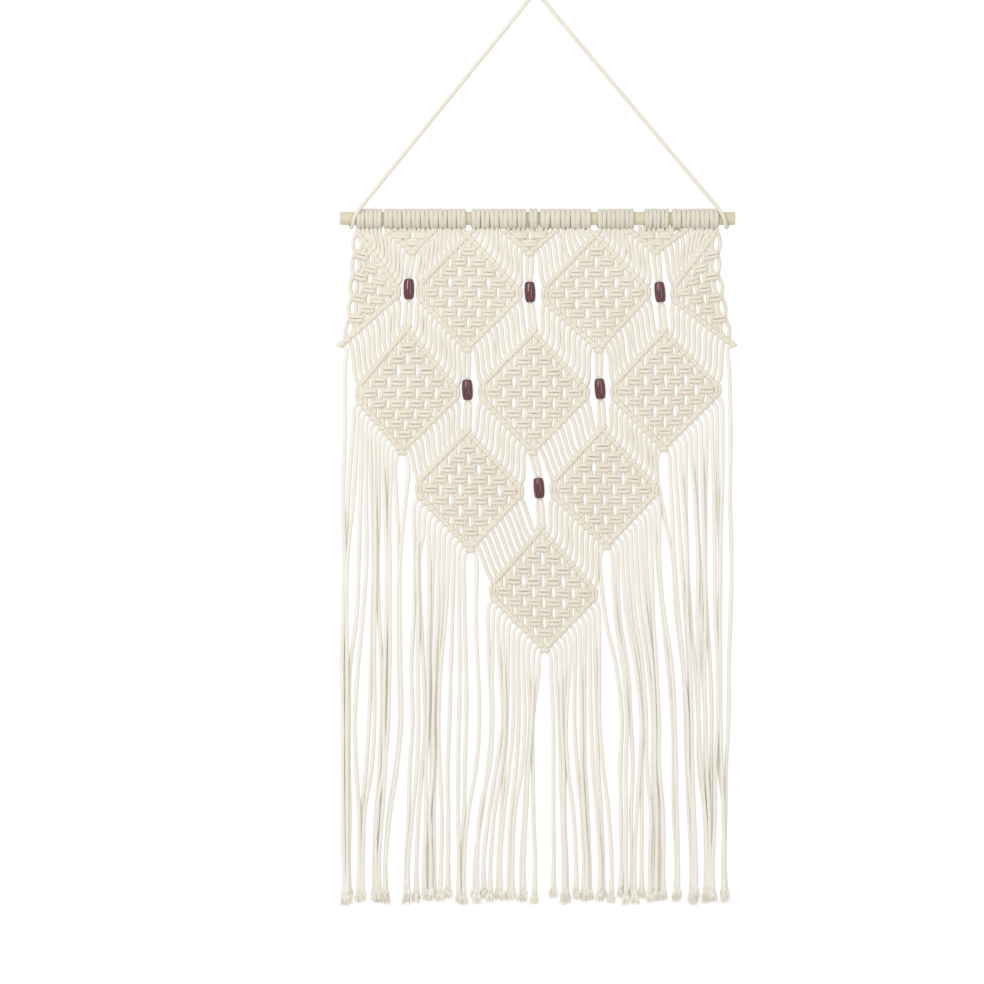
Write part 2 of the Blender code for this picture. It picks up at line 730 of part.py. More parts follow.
def strand_on(diamond, side, hitch):
    # Hitches count from a bar's outer end, strands from the left.
    if side == "left":
        return diamond["first"] + hitch
    return diamond["first"] + 2 * HITCHES - 1 - hitch


def add_diamond(net, diamond, fringed, hanging, fused):
    places = outer_corners(diamond)
    sides = [side for side in ("left", "right") if diamond[side]]
    whole = len(sides) == 2
    plain = FUSED_STRANDS if diamond["row"] == 1 else 0
    lattice = panel_lattice(net, diamond, whole)
    lattice.fill(whole)
    top = net.point(places["top"], BORDER_RIM if plain else 0)
    foot = fringed_foot(net, diamond, fringed) if fringed else {"tip": net.point(places["bottom"], 0)}

    # The borders: an outer rail of hitches zipped to the panel's inner rail. Strands come in
    # along the upper bars and leave along the lower ones.
    upper_rails = {}
    for side in sides:
        to_side = -1 if whole and side == "left" else 1
        corner_upper = net.point(places[side + "_upper"], 0)
        upper = hitch_rail(net, places[side + "_upper"], places["top"], HITCHES, plain, corner_upper, top)
        upper_rails[side] = upper
        if side in fringed:
            lower = foot[side]
        else:
            corner_lower = net.point(places[side + "_lower"], 0)
            lower = hitch_rail(net, places[side + "_lower"], places["bottom"], HITCHES, 0, corner_lower,
                               foot["tip"])
            if fringed:
                lower = lower[:-2] + foot["turn"]
        net.zip_rails(upper, lattice.rail(to_side, -1))
        net.zip_rails(lower, lattice.rail(to_side, 1))
        net.cell([corner_upper, lower[0], lattice.rail(to_side, 1)[0]])

        for k, root in enumerate(hitch_roots(upper)[:HITCHES - plain]):
            strand = strand_on(diamond, side, k)
            add_slack_strand(net, strand, hanging.pop(strand), facing_right(root), diamond["row"])
        if side not in fringed:
            leaving = HITCHES - len(fringed)
            for k, root in enumerate(hitch_roots(lower)[:leaving]):
                hanging[strand_on(diamond, side, k)] = facing_right(root)
    if plain:
        add_fused_top(net, diamond["first"] + HITCHES, upper_rails, top, fused)


def add_slack_strand(net, strand, top, bottom, row):
    for bead in BEADS:
        if bead["after_row"] == row - 2 and strand in (bead["middle"] - 1, bead["middle"]):
            side = -1 if strand < bead["middle"] else 1
            net.strand(top, bead_sections(net, bead, side), bottom)
            return
    parts = SLACK_PARTS if row > 1 else UPPER_SLACK_PARTS
    net.strand(top, slack_sections(net, top, bottom, parts), bottom)


def add_fused_top(net, middle, upper_rails, top, fused):
    # The plain piece between the ledge and the top corner. A rail has a point for each plain
    # hitch after its last ridged one.
    over = [fused[middle]]
    under = [top]
    for side, rail in upper_rails.items():
        plain_points = rail[-1 - FUSED_STRANDS:-1]
        if side == "left":
            over = [fused[middle - FUSED_STRANDS]] + over
            under = plain_points + under
        else:
            over = over + [fused[middle + FUSED_STRANDS]]
            under = under + plain_points[::-1]
    net.zip_rails(over, under)


def fringed_foot(net, diamond, fringed):
    # The net's own edge above a fringe strip, with a turn where only one side is fringed.
    lines = {side: strip_lines(diamond, side)[2] for side in ("left", "right")}
    tip = crossing(*lines["left"], *lines["right"])
    foot = {"tip": net.point(tip, BORDER_RIM)}
    for side in fringed:
        start = at_x(lines[side], diamond[side][0])
        shares = [k / NET_EDGE_LENGTHS for k in range(NET_EDGE_LENGTHS)]
        foot[side] = [net.point(between(start, tip, share), BORDER_RIM) for share in shares]
        foot[side].append(foot["tip"])
    if len(fringed) == 1:
        other = "right" if "left" in fringed else "left"
        notch = between(*lines[other], (HITCHES - 1) / HITCHES)
        foot["turn"] = [net.point(notch, BORDER_RIM), foot["tip"]]
    return foot


def build_fringe(fringe, material):
    web = Web()
    diamond = DIAMONDS[fringe["diamond"]]
    bottom = diamond["bottom"]
    tip = web.point(bottom, 0)
    lines = {side: strip_lines(diamond, side)[1] for side in ("left", "right")}
    inner_tip = crossing(*lines["left"], *lines["right"])
    inner_end = web.point(inner_tip, BORDER_RIM)
    for side in ("left", "right"):
        start = outer_corners(diamond)[side + "_lower"]
        if side in fringe["edges"]:
            hitches = range(HITCHES)
            inner_start = at_x(lines[side], diamond[side][0])
            shares = [k / STRIP_LENGTHS for k in range(STRIP_LENGTHS)]
        else:
            # Only the hitch next to the tip, clear of the net's own edge.
            hitches = range(HITCHES - 1, HITCHES)
            kept_back = 1.5 * CLEARANCE / math.dist(start, bottom)
            share = hitches[0] / HITCHES + kept_back
            inner_start = between(*lines[side], share)
            start = between(start, bottom, share)
            shares = [0]
        outer = hitch_rail(web, start, bottom, len(hitches), shared_end=tip)
        inner = [web.point(between(inner_start, inner_tip, share), BORDER_RIM) for share in shares]
        web.zip_rails(outer, inner + [inner_end])
        for hitch, root in zip(hitches, hitch_roots(outer)):
            add_fringe_strand(web, strand_on(diamond, side, hitch), root)
    return web.make(fringe["name"], material)


def make_bead(number, bead, material):
    rings = []
    half_length = BEAD_LENGTH / 2
    bore = BEAD_BORE_RADIUS / math.cos(math.pi / BEAD_SIDES)
    outline = [(stage["along"] * half_length, stage["radius"] * BEAD_RADIUS) for stage in BEAD_OUTLINE]
    outline += [(half_length, bore), (-half_length, bore)]
    shaped = bmesh.new()
    for along, radius in outline:
        angles = [math.tau * (k + 0.5) / BEAD_SIDES for k in range(BEAD_SIDES)]
        rings.append([shaped.verts.new((radius * math.cos(a) * MM, radius * math.sin(a) * MM, along * MM))
                      for a in angles])
    for near, far in zip(rings, rings[1:] + rings[:1]):
        for k in range(BEAD_SIDES):
            n = (k + 1) % BEAD_SIDES
            shaped.faces.new((near[k], near[n], far[n], far[k]))
    bmesh.ops.recalc_face_normals(shaped, faces=shaped.faces)
    mesh = bpy.data.meshes.new(f"bead_{number}")
    shaped.to_mesh(mesh)
    shaped.free()
    made = add_object(f"bead_{number}", mesh, material, smooth=True)
    made.location = world(bead["x"], 0, bead["z"])
    made.rotation_euler = (0, -math.atan2(bead["lean"], BEAD_LENGTH), 0)
    return made


def cord_route():
    # Hand-picked points from the tucked end at the left, over the top, to the one at the right.
    left = [(CORD_LEFT_TURN_X - p["outward"], p["y"], p["z"]) for p in CORD_TURN]
    right = [(CORD_RIGHT_TURN_X + p["outward"], p["y"], p["z"]) for p in CORD_TURN]
    top = (-ROD_RIGHT_OF_APEX, 0.0, ROD_BELOW_APEX - CORD_DIAMETER / 2)
    legs = []
    for sign, turn_x in ((-1, CORD_LEFT_TURN_X), (1, CORD_RIGHT_TURN_X)):
        foot = (turn_x - sign * CORD_LEG_FOOT_INWARD, CORD_LEG_FOOT_Y, CORD_LEG_FOOT_Z)
        shoulder = (top[0] + sign * CORD_SHOULDER_RUN, 0.0, top[2] - CORD_SHOULDER_DROP)
        legs.append([tuple(mix(a, b, t) for a, b in zip(foot, shoulder)) for t in CORD_LEG_SHARES])
    return left + legs[0] + [top] + legs[1][::-1] + right[::-1]


def smooth_curve(route):
    # A centripetal Catmull-Rom curve through the route's points, as closely spaced samples.
    points = [Vector(p) for p in route]
    points = [points[0] * 2 - points[1]] + points + [points[-1] * 2 - points[-2]]
    samples = []
    for p0, p1, p2, p3 in zip(points, points[1:], points[2:], points[3:]):
        t1 = math.sqrt((p1 - p0).length)
        t2 = t1 + math.sqrt((p2 - p1).length)
        t3 = t2 + math.sqrt((p3 - p2).length)
        steps = max(4, round((p2 - p1).length / CORD_SAMPLE))
        for k in range(steps):
            t = mix(t1, t2, k / steps)
            a1 = p0 * ((t1 - t) / t1) + p1 * (t / t1)
            a2 = p1 * ((t2 - t) / (t2 - t1)) + p2 * ((t - t1) / (t2 - t1))
            a3 = p2 * ((t3 - t) / (t3 - t2)) + p3 * ((t - t2) / (t3 - t2))
            b1 = a1 * ((t2 - t) / t2) + a2 * (t / t2)
            b2 = a2 * ((t3 - t) / (t3 - t1)) + a3 * ((t - t1) / (t3 - t1))
            samples.append(b1 * ((t2 - t) / (t2 - t1)) + b2 * ((t - t1) / (t2 - t1)))
    samples.append(points[-2])
    return samples


def spaced(samples):
    # Close points where the cord turns and wide ones along its straight legs.
    kept = [samples[0]]
    travelled = 0.0
    for before, here in zip(samples, samples[1:]):
        travelled += (here - before).length
        straight = CORD_STRAIGHT_FROM_Z < here.z < CORD_STRAIGHT_TO_Z
        if travelled >= (CORD_LEG_STEP if straight else CORD_WRAP_STEP):
            kept.append(here)
            travelled = 0.0
    if (samples[-1] - kept[-1]).length > CORD_WRAP_STEP / 2:
        kept.append(samples[-1])
    else:
        kept[-1] = samples[-1]
    return kept


def make_cord(material):
    path = spaced(smooth_curve(cord_route()))
    curve = bpy.data.curves.new("hanging_cord", "CURVE")
    curve.dimensions = "3D"
    curve.bevel_depth = CORD_DIAMETER / 2 * MM
    curve.bevel_resolution = 2
    curve.use_fill_caps = True
    spline = curve.splines.new("POLY")
    spline.points.add(len(path) - 1)
    for point, place in zip(spline.points, path):
        point.co = (*world(*place), 1.0)
    spline.use_smooth = True
    return add_object("hanging_cord", curve, material)


def make_rod(material):
    bpy.ops.mesh.primitive_cylinder_add(vertices=ROD_SIDES, radius=ROD_DIAMETER / 2 * MM,
                                        depth=ROD_LENGTH * MM, rotation=(0, math.pi / 2, 0),
                                        location=world(0, 0, 0))
    rod = bpy.context.object
    rod.name = "wooden_rod"
    rod.data.name = "wooden_rod"
    rod.data.materials.append(material)
    rounding = rod.modifiers.new("rounded_ends", "BEVEL")
    rounding.width = ROD_END_ROUNDING * MM
    rounding.segments = 2
    rounding.limit_method = "ANGLE"
    rounding.angle_limit = math.radians(40)
    for face in rod.data.polygons:
        face.use_smooth = len(face.vertices) == 4
    return rod


def main():
    cotton = make_material("natural_cotton", "E2DCCD", 0.92)
    wood = make_material("pale_wood", "E3CD97", 0.6)
    lacquer = make_material("red_brown_lacquer", "6B2E30", 0.25)
    make_rod(wood)
    make_cord(cotton)
    build_net(cotton)
    for number, bead in enumerate(BEADS, start=1):
        make_bead(number, bead, lacquer)
    for fringe in FRINGES:
        build_fringe(fringe, cotton)


main()
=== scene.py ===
import math

import bpy
import numpy as np
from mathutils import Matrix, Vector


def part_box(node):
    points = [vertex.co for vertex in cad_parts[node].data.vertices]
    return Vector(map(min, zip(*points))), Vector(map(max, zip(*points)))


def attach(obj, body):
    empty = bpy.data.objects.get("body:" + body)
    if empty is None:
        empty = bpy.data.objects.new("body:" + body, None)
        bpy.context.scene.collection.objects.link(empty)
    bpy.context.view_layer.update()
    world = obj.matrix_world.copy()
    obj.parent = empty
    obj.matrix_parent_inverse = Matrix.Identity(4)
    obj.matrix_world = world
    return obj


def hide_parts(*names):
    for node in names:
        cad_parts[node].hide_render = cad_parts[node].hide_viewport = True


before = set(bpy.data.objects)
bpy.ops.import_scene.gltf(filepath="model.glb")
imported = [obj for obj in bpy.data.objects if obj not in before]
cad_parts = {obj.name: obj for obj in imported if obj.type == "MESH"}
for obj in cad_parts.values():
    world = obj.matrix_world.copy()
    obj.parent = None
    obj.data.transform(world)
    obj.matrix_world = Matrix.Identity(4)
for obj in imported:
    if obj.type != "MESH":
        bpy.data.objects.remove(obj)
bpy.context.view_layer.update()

# Lengths are in millimetres and counted from the middle of the rod: x to the right, z up,
# and y to the back, so the front has a negative y. They turn into metres when a mesh is made.
mm = 0.001
rodLow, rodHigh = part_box("wooden_rod")
rodMiddle = np.array((rodLow + rodHigh) / 2)
rodRadius = (rodHigh.z - rodLow.z) / 2 / mm
strandCount = 72


def mix(a, b, t):
    return a + (b - a) * t


def toWorld(points):
    return rodMiddle + np.asarray(points, float) * mm


def linearColour(code):
    channels = [int(code[i:i + 2], 16) / 255 for i in (0, 2, 4)]
    return (*[c / 12.92 if c <= 0.04045 else ((c + 0.055) / 1.055) ** 2.4 for c in channels], 1.0)


def addObject(name, data):
    added = bpy.data.objects.new(name, data)
    bpy.context.scene.collection.objects.link(added)
    return added


def smoothPath(corners, perSpan):
    # A Catmull-Rom curve through the corners, perSpan points to each stretch between two of them.
    corners = np.asarray(corners, float)
    ends = np.vstack([2 * corners[0] - corners[1], corners, 2 * corners[-1] - corners[-2]])
    t = np.linspace(0, 1, perSpan, endpoint=False)[:, None]
    spans = []
    for p0, p1, p2, p3 in zip(ends, ends[1:], ends[2:], ends[3:]):
        spans.append(0.5 * (2 * p1 + (p2 - p0) * t + (2 * p0 - 5 * p1 + 4 * p2 - p3) * t * t
                            + (3 * p1 - p0 - 3 * p2 + p3) * t ** 3))
    return np.vstack(spans + [corners[-1:]])


class Yarn:
    # Collects tubes into one mesh. Its UV map runs round each tube in u and along it, in mm, in v.
    def __init__(self, name):
        self.name = name
        self.points = []
        self.faces = []
        self.faceUvs = []
        self.count = 0

    def tube(self, path, radius, across, sides=8, flatness=1.0):
        # "across" is a direction that the tube never runs along. Flatness thins the tube at
        # right angles to it, as where a cord is pressed flat.
        path = np.asarray(path, float)
        n = len(path)
        radius = np.broadcast_to(np.asarray(radius, float), (n,))[:, None, None]
        heading = np.gradient(path, axis=0)
        heading /= np.linalg.norm(heading, axis=1)[:, None]
        thin = np.cross(heading, np.asarray(across, float))
        thin /= np.linalg.norm(thin, axis=1)[:, None]
        broad = np.cross(thin, heading)
        angles = np.linspace(0, math.tau, sides, endpoint=False)[None, :, None]
        rings = path[:, None, :] + radius * (np.cos(angles) * broad[:, None, :]
                                             + np.sin(angles) * thin[:, None, :] * flatness)
        along = np.concatenate([[0], np.cumsum(np.linalg.norm(np.diff(path, axis=0), axis=1))])
        i, j = np.meshgrid(np.arange(n - 1), np.arange(sides), indexing="ij")
        i, j = i.ravel(), j.ravel()
        k = (j + 1) % sides
        firstRing = self.count
        lastRing = firstRing + (n - 1) * sides
        self.faces.append(firstRing + np.stack([i * sides + j, i * sides + k,
                                                (i + 1) * sides + k, (i + 1) * sides + j], 1))
        u0, u1 = j / sides, (j + 1) / sides
        v0, v1 = along[i], along[i + 1]
        self.faceUvs.append(np.stack([u0, v0, u1, v0, u1, v1, u0, v1], 1).reshape(-1, 4, 2))
        self.points.append(rings.reshape(-1, 3))
        self.count += n * sides
        self.cap(firstRing, sides, path[0], False)
        self.cap(lastRing, sides, path[-1], True)

    def cap(self, ring, sides, tip, atEnd):
        # Faces with a doubled corner close an end; make() drops the doubled corner.
        j = ring + np.arange(sides)
        k = ring + (np.arange(sides) + 1) % sides
        self.points.append(np.asarray(tip, float)[None, :])
        middle = np.full(sides, self.count)
        self.faces.append(np.stack([j, k, middle, middle] if atEnd else [k, j, middle, middle], 1))
        self.faceUvs.append(np.zeros((sides, 4, 2)))
        self.count += 1

    def make(self, material, replaced=("macrame_net",), smooth=True):
        points = toWorld(np.vstack(self.points))
        faces = np.vstack(self.faces)
        uvs = np.vstack(self.faceUvs)
        isQuad = faces[:, 2] != faces[:, 3]
        sizes = np.where(isQuad, 4, 3)
        keep = np.ones(faces.shape, bool)
        keep[~isQuad, 3] = False
        mesh = bpy.data.meshes.new(self.name)
        mesh.vertices.add(len(points))
        mesh.vertices.foreach_set("co", points.astype(np.float32).ravel())
        mesh.loops.add(int(sizes.sum()))
        mesh.loops.foreach_set("vertex_index", faces[keep].astype(np.int32))
        mesh.polygons.add(len(faces))
        starts = np.concatenate([[0], np.cumsum(sizes)[:-1]]).astype(np.int32)
        mesh.polygons.foreach_set("loop_start", starts)
        mesh.polygons.foreach_set("use_smooth", np.full(len(faces), smooth))
        layer = mesh.uv_layers.new(name="strandMap")
        layer.uv.foreach_set("vector", uvs[keep].astype(np.float32).ravel())
        mesh.update(calc_edges=True)
        mesh.validate()
        mesh.materials.append(material)
        piece = addObject(self.name, mesh)
        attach(piece, "root")
        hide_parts(*replaced)
        triangles = int((sizes - 2).sum())
        print(f"{self.name}: {triangles} triangles")
        return piece


# The camera stands far back and straight in front, so the view is nearly without perspective.
cameraView = {
    "frameWidth": 996.5,
    "middleX": -46.1,
    "middleZ": -277.0,
    "distance": 4200.0,
    "sensor": 36.0,
    "clipEnd": 100.0,
}


def makeCamera():
    data = bpy.data.cameras.new("frontCamera")
    data.sensor_width = cameraView["sensor"]
    data.lens = cameraView["sensor"] * cameraView["distance"] / cameraView["frameWidth"]
    data.clip_end = cameraView["clipEnd"]
    camera = addObject("frontCamera", data)
    camera.location = toWorld((cameraView["middleX"], -cameraView["distance"], cameraView["middleZ"]))
    camera.rotation_euler = (math.pi / 2, 0, 0)
    bpy.context.scene.camera = camera
    print("camera placed")


def addNode(tree, kind, settings=None, links=None):
    # Settings name a socket by its name or number, or a property of the node. Links go into sockets.
    node = tree.nodes.new(kind)
    for key, value in (settings or {}).items():
        if isinstance(key, str) and hasattr(node, key):
            setattr(node, key, value)
        else:
            node.inputs[key].default_value = value
    for key, source in (links or {}).items():
        tree.links.new(source, node.inputs[key])
    return node


def newMaterial(name, finish):
    # The finish gives the shader's sockets their values by name.
    material = bpy.data.materials.new(name)
    material.use_nodes = True
    tree = material.node_tree
    shader = tree.nodes["Principled BSDF"]
    for socket, value in finish.items():
        shader.inputs[socket].default_value = value
    return material, tree, shader


cottonLook = {
    "light": "F0EADC",
    "shade": "E8DFCC",
    "finish": {"Roughness": 0.95, "Specular IOR Level": 0.2, "Sheen Weight": 0.15, "Sheen Roughness": 0.6},
    "twistLay": 14.0,
    "twistYarns": 4.0,
    "twistDepth": 0.32,
    "fibresPerYarn": 6.0,
    "fibreLength": 2.857,
    "fibreDepth": 0.12,
    "patchSize": 38.0,
}

# The slack strands, the fringe and its fibres are lighter copies of the knots' cotton: painted
# light, which stands for the backlight that wraps round and shines through thin loose strands. The heads
# are a little darker than the knots.
headCottonLook = dict(cottonLook, light="E6E0D1", shade="DCD5C5")
slackCottonLook = dict(cottonLook, light="F2EDE0", shade="EAE3D3")
fringeCottonLook = dict(cottonLook, light="F7F4EB", shade="F1ECE0")
fibreCottonLook = dict(cottonLook, light="FEFAF0", shade="F9F4E8", twistDepth=0.02, fibreDepth=0.02)


def cottonString(name, look):
    # Unbleached cotton string, spun from a few yarns in one twist. The eye gets a matt, warm
    # off-white, slanting yarn lines, fine fibres along them, and patches a little more yellow.
    material, tree, shader = newMaterial(name, look["finish"])
    strandMap = addNode(tree, "ShaderNodeUVMap", {"uv_map": "strandMap"})
    places = addNode(tree, "ShaderNodeSeparateXYZ", links={0: strandMap.outputs[0]})
    turns = addNode(tree, "ShaderNodeMath", {"operation": "MULTIPLY", 1: look["twistYarns"]},
                    {0: places.outputs[0]})
    rise = addNode(tree, "ShaderNodeMath",
                   {"operation": "MULTIPLY", 1: look["twistYarns"] / look["twistLay"]},
                   {0: places.outputs[1]})
    phase = addNode(tree, "ShaderNodeMath", {"operation": "ADD"},
                    {0: turns.outputs[0], 1: rise.outputs[0]})
    ridge = addNode(tree, "ShaderNodeMath", {"operation": "PINGPONG", 1: 0.5}, {0: phase.outputs[0]})

    # Fibres lie along the string. Real ones are too fine to show, so they are drawn about half
    # a millimetre thick.
    fibrePlace = addNode(tree, "ShaderNodeCombineXYZ",
                         links={0: phase.outputs[0], 1: places.outputs[1]})
    fibreScale = addNode(tree, "ShaderNodeMapping",
                         {"Scale": (look["fibresPerYarn"], 1 / look["fibreLength"], 1.0)},
                         {0: fibrePlace.outputs[0]})
    fibres = addNode(tree, "ShaderNodeTexNoise", {"Scale": 1.0, "Detail": 3.0, "Roughness": 0.6},
                     {"Vector": fibreScale.outputs[0]})
    spot = addNode(tree, "ShaderNodeTexCoord")
    patches = addNode(tree, "ShaderNodeTexNoise", {"Scale": 1 / (look["patchSize"] * mm), "Detail": 2.0},
                      {"Vector": spot.outputs["Object"]})
    tint = addNode(tree, "ShaderNodeMix",
                   {"data_type": "RGBA", 6: linearColour(look["shade"]), 7: linearColour(look["light"])},
                   {0: patches.outputs[0]})
    tree.links.new(tint.outputs[2], shader.inputs["Base Color"])
    yarnBump = addNode(tree, "ShaderNodeBump", {"Strength": 1.0, "Distance": look["twistDepth"] * mm},
                       {"Height": ridge.outputs[0]})
    fibreBump = addNode(tree, "ShaderNodeBump", {"Strength": 1.0, "Distance": look["fibreDepth"] * mm},
                        {"Height": fibres.outputs[0], "Normal": yarnBump.outputs[0]})
    tree.links.new(fibreBump.outputs[0], shader.inputs["Normal"])
    return material


# The hanging cord keeps the route of its solid: a turn round each end of the rod, and two
# nearly straight legs up to the bend that it hangs by.
hangingCord = {
    "diameter": 3.6,
    "sides": 12,
    "spacing": 1.6,
    "apexX": -1.5,
    "apexZ": 224.7,
    "leftTurnX": -185.2,
    "rightTurnX": 188.2,
    "footZ": 9.6,
    "footY": -8.9,
    "footInward": 5.7,
    "shoulderRun": 7.05,
    "shoulderDrop": 3.4,
    "legShares": (0, 0.06, 0.5, 0.94, 1),
    "turn": (
        {"outward": 6.0, "y": 6.6, "z": 6.4},
        {"outward": 5.5, "y": 9.1, "z": 0.6},
        {"outward": 4.6, "y": 6.8, "z": -6.0},
        {"outward": 3.4, "y": 0.4, "z": -9.1},
        {"outward": 1.8, "y": -6.4, "z": -6.4},
        {"outward": 0.0, "y": -9.2, "z": 0.5},
    ),
}


def cordRoute():
    cord = hangingCord
    apex = np.array((cord["apexX"], 0.0, cord["apexZ"]))
    halves = []
    for sign, turnX in ((-1, cord["leftTurnX"]), (1, cord["rightTurnX"])):
        turn = [(turnX + sign * p["outward"], p["y"], p["z"]) for p in cord["turn"]]
        foot = np.array((turnX - sign * cord["footInward"], cord["footY"], cord["footZ"]))
        shoulder = apex + (sign * cord["shoulderRun"], 0.0, -cord["shoulderDrop"])
        halves.append(turn + [mix(foot, shoulder, share) for share in cord["legShares"]])
    return [*halves[0], apex, *reversed(halves[1])]


def centripetalCurve(route, step=0.5):
    # The curve that the cord's solid follows: it doesn't overshoot where spans differ in length.
    points = [np.array(p, float) for p in route]
    points = [points[0] * 2 - points[1]] + points + [points[-1] * 2 - points[-2]]
    samples = []
    for span in zip(points, points[1:], points[2:], points[3:]):
        chords = [np.linalg.norm(b - a) for a, b in zip(span, span[1:])]
        times = np.concatenate([[0], np.cumsum(np.sqrt(chords))])
        steps = max(4, round(chords[1] / step))
        for t in np.linspace(times[1], times[2], steps, endpoint=False):
            row = span
            for gap in (1, 2):
                row = [mix(a, b, (t - early) / (late - early))
                       for a, b, early, late in zip(row, row[1:], times, times[gap:])]
            samples.append(mix(row[0], row[1], (t - times[1]) / (times[2] - times[1])))
    samples.append(points[-2])
    return np.array(samples)


def evenly(path, spacing):
    # The same line with its points a fixed distance apart.
    lengths = np.concatenate([[0], np.cumsum(np.linalg.norm(np.diff(path, axis=0), axis=1))])
    count = max(2, round(lengths[-1] / spacing) + 1)
    wanted = np.linspace(0, lengths[-1], count)
    return np.stack([np.interp(wanted, lengths, path[:, k]) for k in range(3)], 1), lengths[-1]


def makeHangingCord(material):
    path, length = evenly(centripetalCurve(cordRoute()), hangingCord["spacing"])
    yarn = Yarn("hangingCordString")
    heading = np.gradient(path, axis=0)
    heading /= np.linalg.norm(heading, axis=1)[:, None]
    # The legs run across and up, and the turns run round the rod, so the direction that the
    # cord never takes changes along it. It is carried from ring to ring instead.
    across = np.array((1.0, 0.0, 0.0))
    carried = []
    for direction in heading:
        across = across - direction * (across @ direction)
        across /= np.linalg.norm(across)
        carried.append(across)
    yarn.tube(path, hangingCord["diameter"] / 2, np.array(carried), sides=hangingCord["sides"])
    piece = yarn.make(material, ["hanging_cord"])
    print(f"hanging cord: {length:.0f} mm long")


makeCamera()
cotton = cottonString("unbleachedCottonString", cottonLook)
headCotton = cottonString("darkerHeadCottonString", headCottonLook)
# The slack, fringe and fibre cottons are lighter than the knots' cotton: painted light.
slackCotton = cottonString("slackCottonPaintedLight", slackCottonLook)
fringeCotton = cottonString("fringeCottonPaintedLight", fringeCottonLook)
fibreCotton = cottonString("fibreCottonPaintedLight", fibreCottonLook)
makeHangingCord(cotton)

# Groups of lark's heads on the rod, with bare wood between them.
headRow = {
    "groups": (
        {"fromX": -183.2, "toX": -157.6, "heads": 3},
        {"fromX": -155.4, "toX": -72.7, "heads": 9},
        {"fromX": -66.8, "toX": -11.3, "heads": 6},
        {"fromX": -8.3, "toX": -0.1, "heads": 1},
        {"fromX": 2.8, "toX": 53.9, "heads": 5},
        {"fromX": 61.0, "toX": 97.5, "heads": 4},
        {"fromX": 108.4, "toX": 132.8, "heads": 3},
        {"fromX": 136.2, "toX": 183.3, "heads": 5},
    ),
    "cordThickness": 3.3,
    "clearance": 0.25,
    "wrapShare": 0.52,
    "wrapDegrees": (-128, 118),
    "wrapPoints": 21,
    "wrapSides": 10,
    "taperPoints": 4,
    "pinch": 0.88,
    "pinchDegrees": (-30, 30),
    "tail": {"y": 0.5, "drop": 3.5},
    "ledgeZ": -12.7,
    "barZ": -9.6,
    "barRadius": 1.65,
    "barShare": 0.42,
    # The left half of the loop behind: shares of the bar's half width and of the reach from the
    # rod's middle, and a height over the bar.
    "loop": ((-0.9, 0.95, 9.0), (-1.0, 1.0, 4.0), (-0.82, 0.9, 1.2), (-0.35, 0.85, 0.0)),
    "uneven": {"tilt": 0.25, "lean": 0.15, "swell": 0.05, "bar": 0.2},
    "tiltAside": 0.2,
    "seed": 11,
}


def headPlaces():
    # Each head's middle and width, and the x of every strand under the heads.
    heads = []
    strands = []
    edges = []
    for group in headRow["groups"]:
        pitch = (group["toX"] - group["fromX"]) / group["heads"]
        for k in range(group["heads"]):
            left = group["fromX"] + k * pitch
            heads.append({"x": left + pitch / 2, "width": pitch})
            strands += [left + pitch / 4, left + pitch * 3 / 4]
            edges += [left, left + pitch / 2]
    edges.append(headRow["groups"][-1]["toX"])
    return heads, strands, edges


heads, strandTopX, strandEdges = headPlaces()


def makeHeads(material):
    # Each cord is doubled over the rod with its loop at the back. Both halves come up over the
    # front, go down the back, and hang from under the rod through the loop.
    row = headRow
    uneven = row["uneven"]
    yarn = Yarn("larksHeads")
    chance = np.random.default_rng(row["seed"])
    thickness = row["cordThickness"]
    reach = rodRadius + thickness / 2 + row["clearance"]
    for head in heads:
        wrapHalf = head["width"] * row["wrapShare"] / 2
        tilt = chance.normal(0, uneven["tilt"])
        for side in (-1, 1):
            lean = chance.normal(0, uneven["lean"])
            swell = 1 + chance.normal(0, uneven["swell"])
            points = []
            for degrees in np.linspace(*row["wrapDegrees"], row["wrapPoints"]):
                # 0 is the front of the rod, positive over the top and down the back.
                turn = math.radians(degrees)
                pinch = mix(row["pinch"], 1, np.interp(degrees, row["pinchDegrees"], (0, 1)))
                x = head["x"] + side * head["width"] / 4 * pinch + lean * math.sin(turn)
                x += tilt * row["tiltAside"]
                points.append((x, -reach * math.cos(turn), reach * math.sin(turn)))
            points = np.array(points)
            points[0] = (points[0][0], row["tail"]["y"], -reach - row["tail"]["drop"])
            radii = np.full(len(points), wrapHalf * swell)
            taper = row["taperPoints"]
            radii[:taper] = np.linspace(thickness / 2, wrapHalf * swell, taper)
            flatness = thickness / 2 / wrapHalf
            yarn.tube(points, radii, (1, 0, 0), sides=row["wrapSides"], flatness=flatness)
        half = head["width"] * row["barShare"]
        z = row["barZ"] + chance.normal(0, uneven["bar"])
        loop = [*row["loop"], *((-across, out, up) for across, out, up in reversed(row["loop"]))]
        bar = [(half * across, reach * out, z + up) for across, out, up in loop]
        bar = smoothPath([(head["x"] + x, y, up + tilt * x / half) for x, y, up in bar], 2)
        yarn.tube(bar, row["barRadius"], (0, 0, 1))
    yarn.make(material)


makeHeads(headCotton)

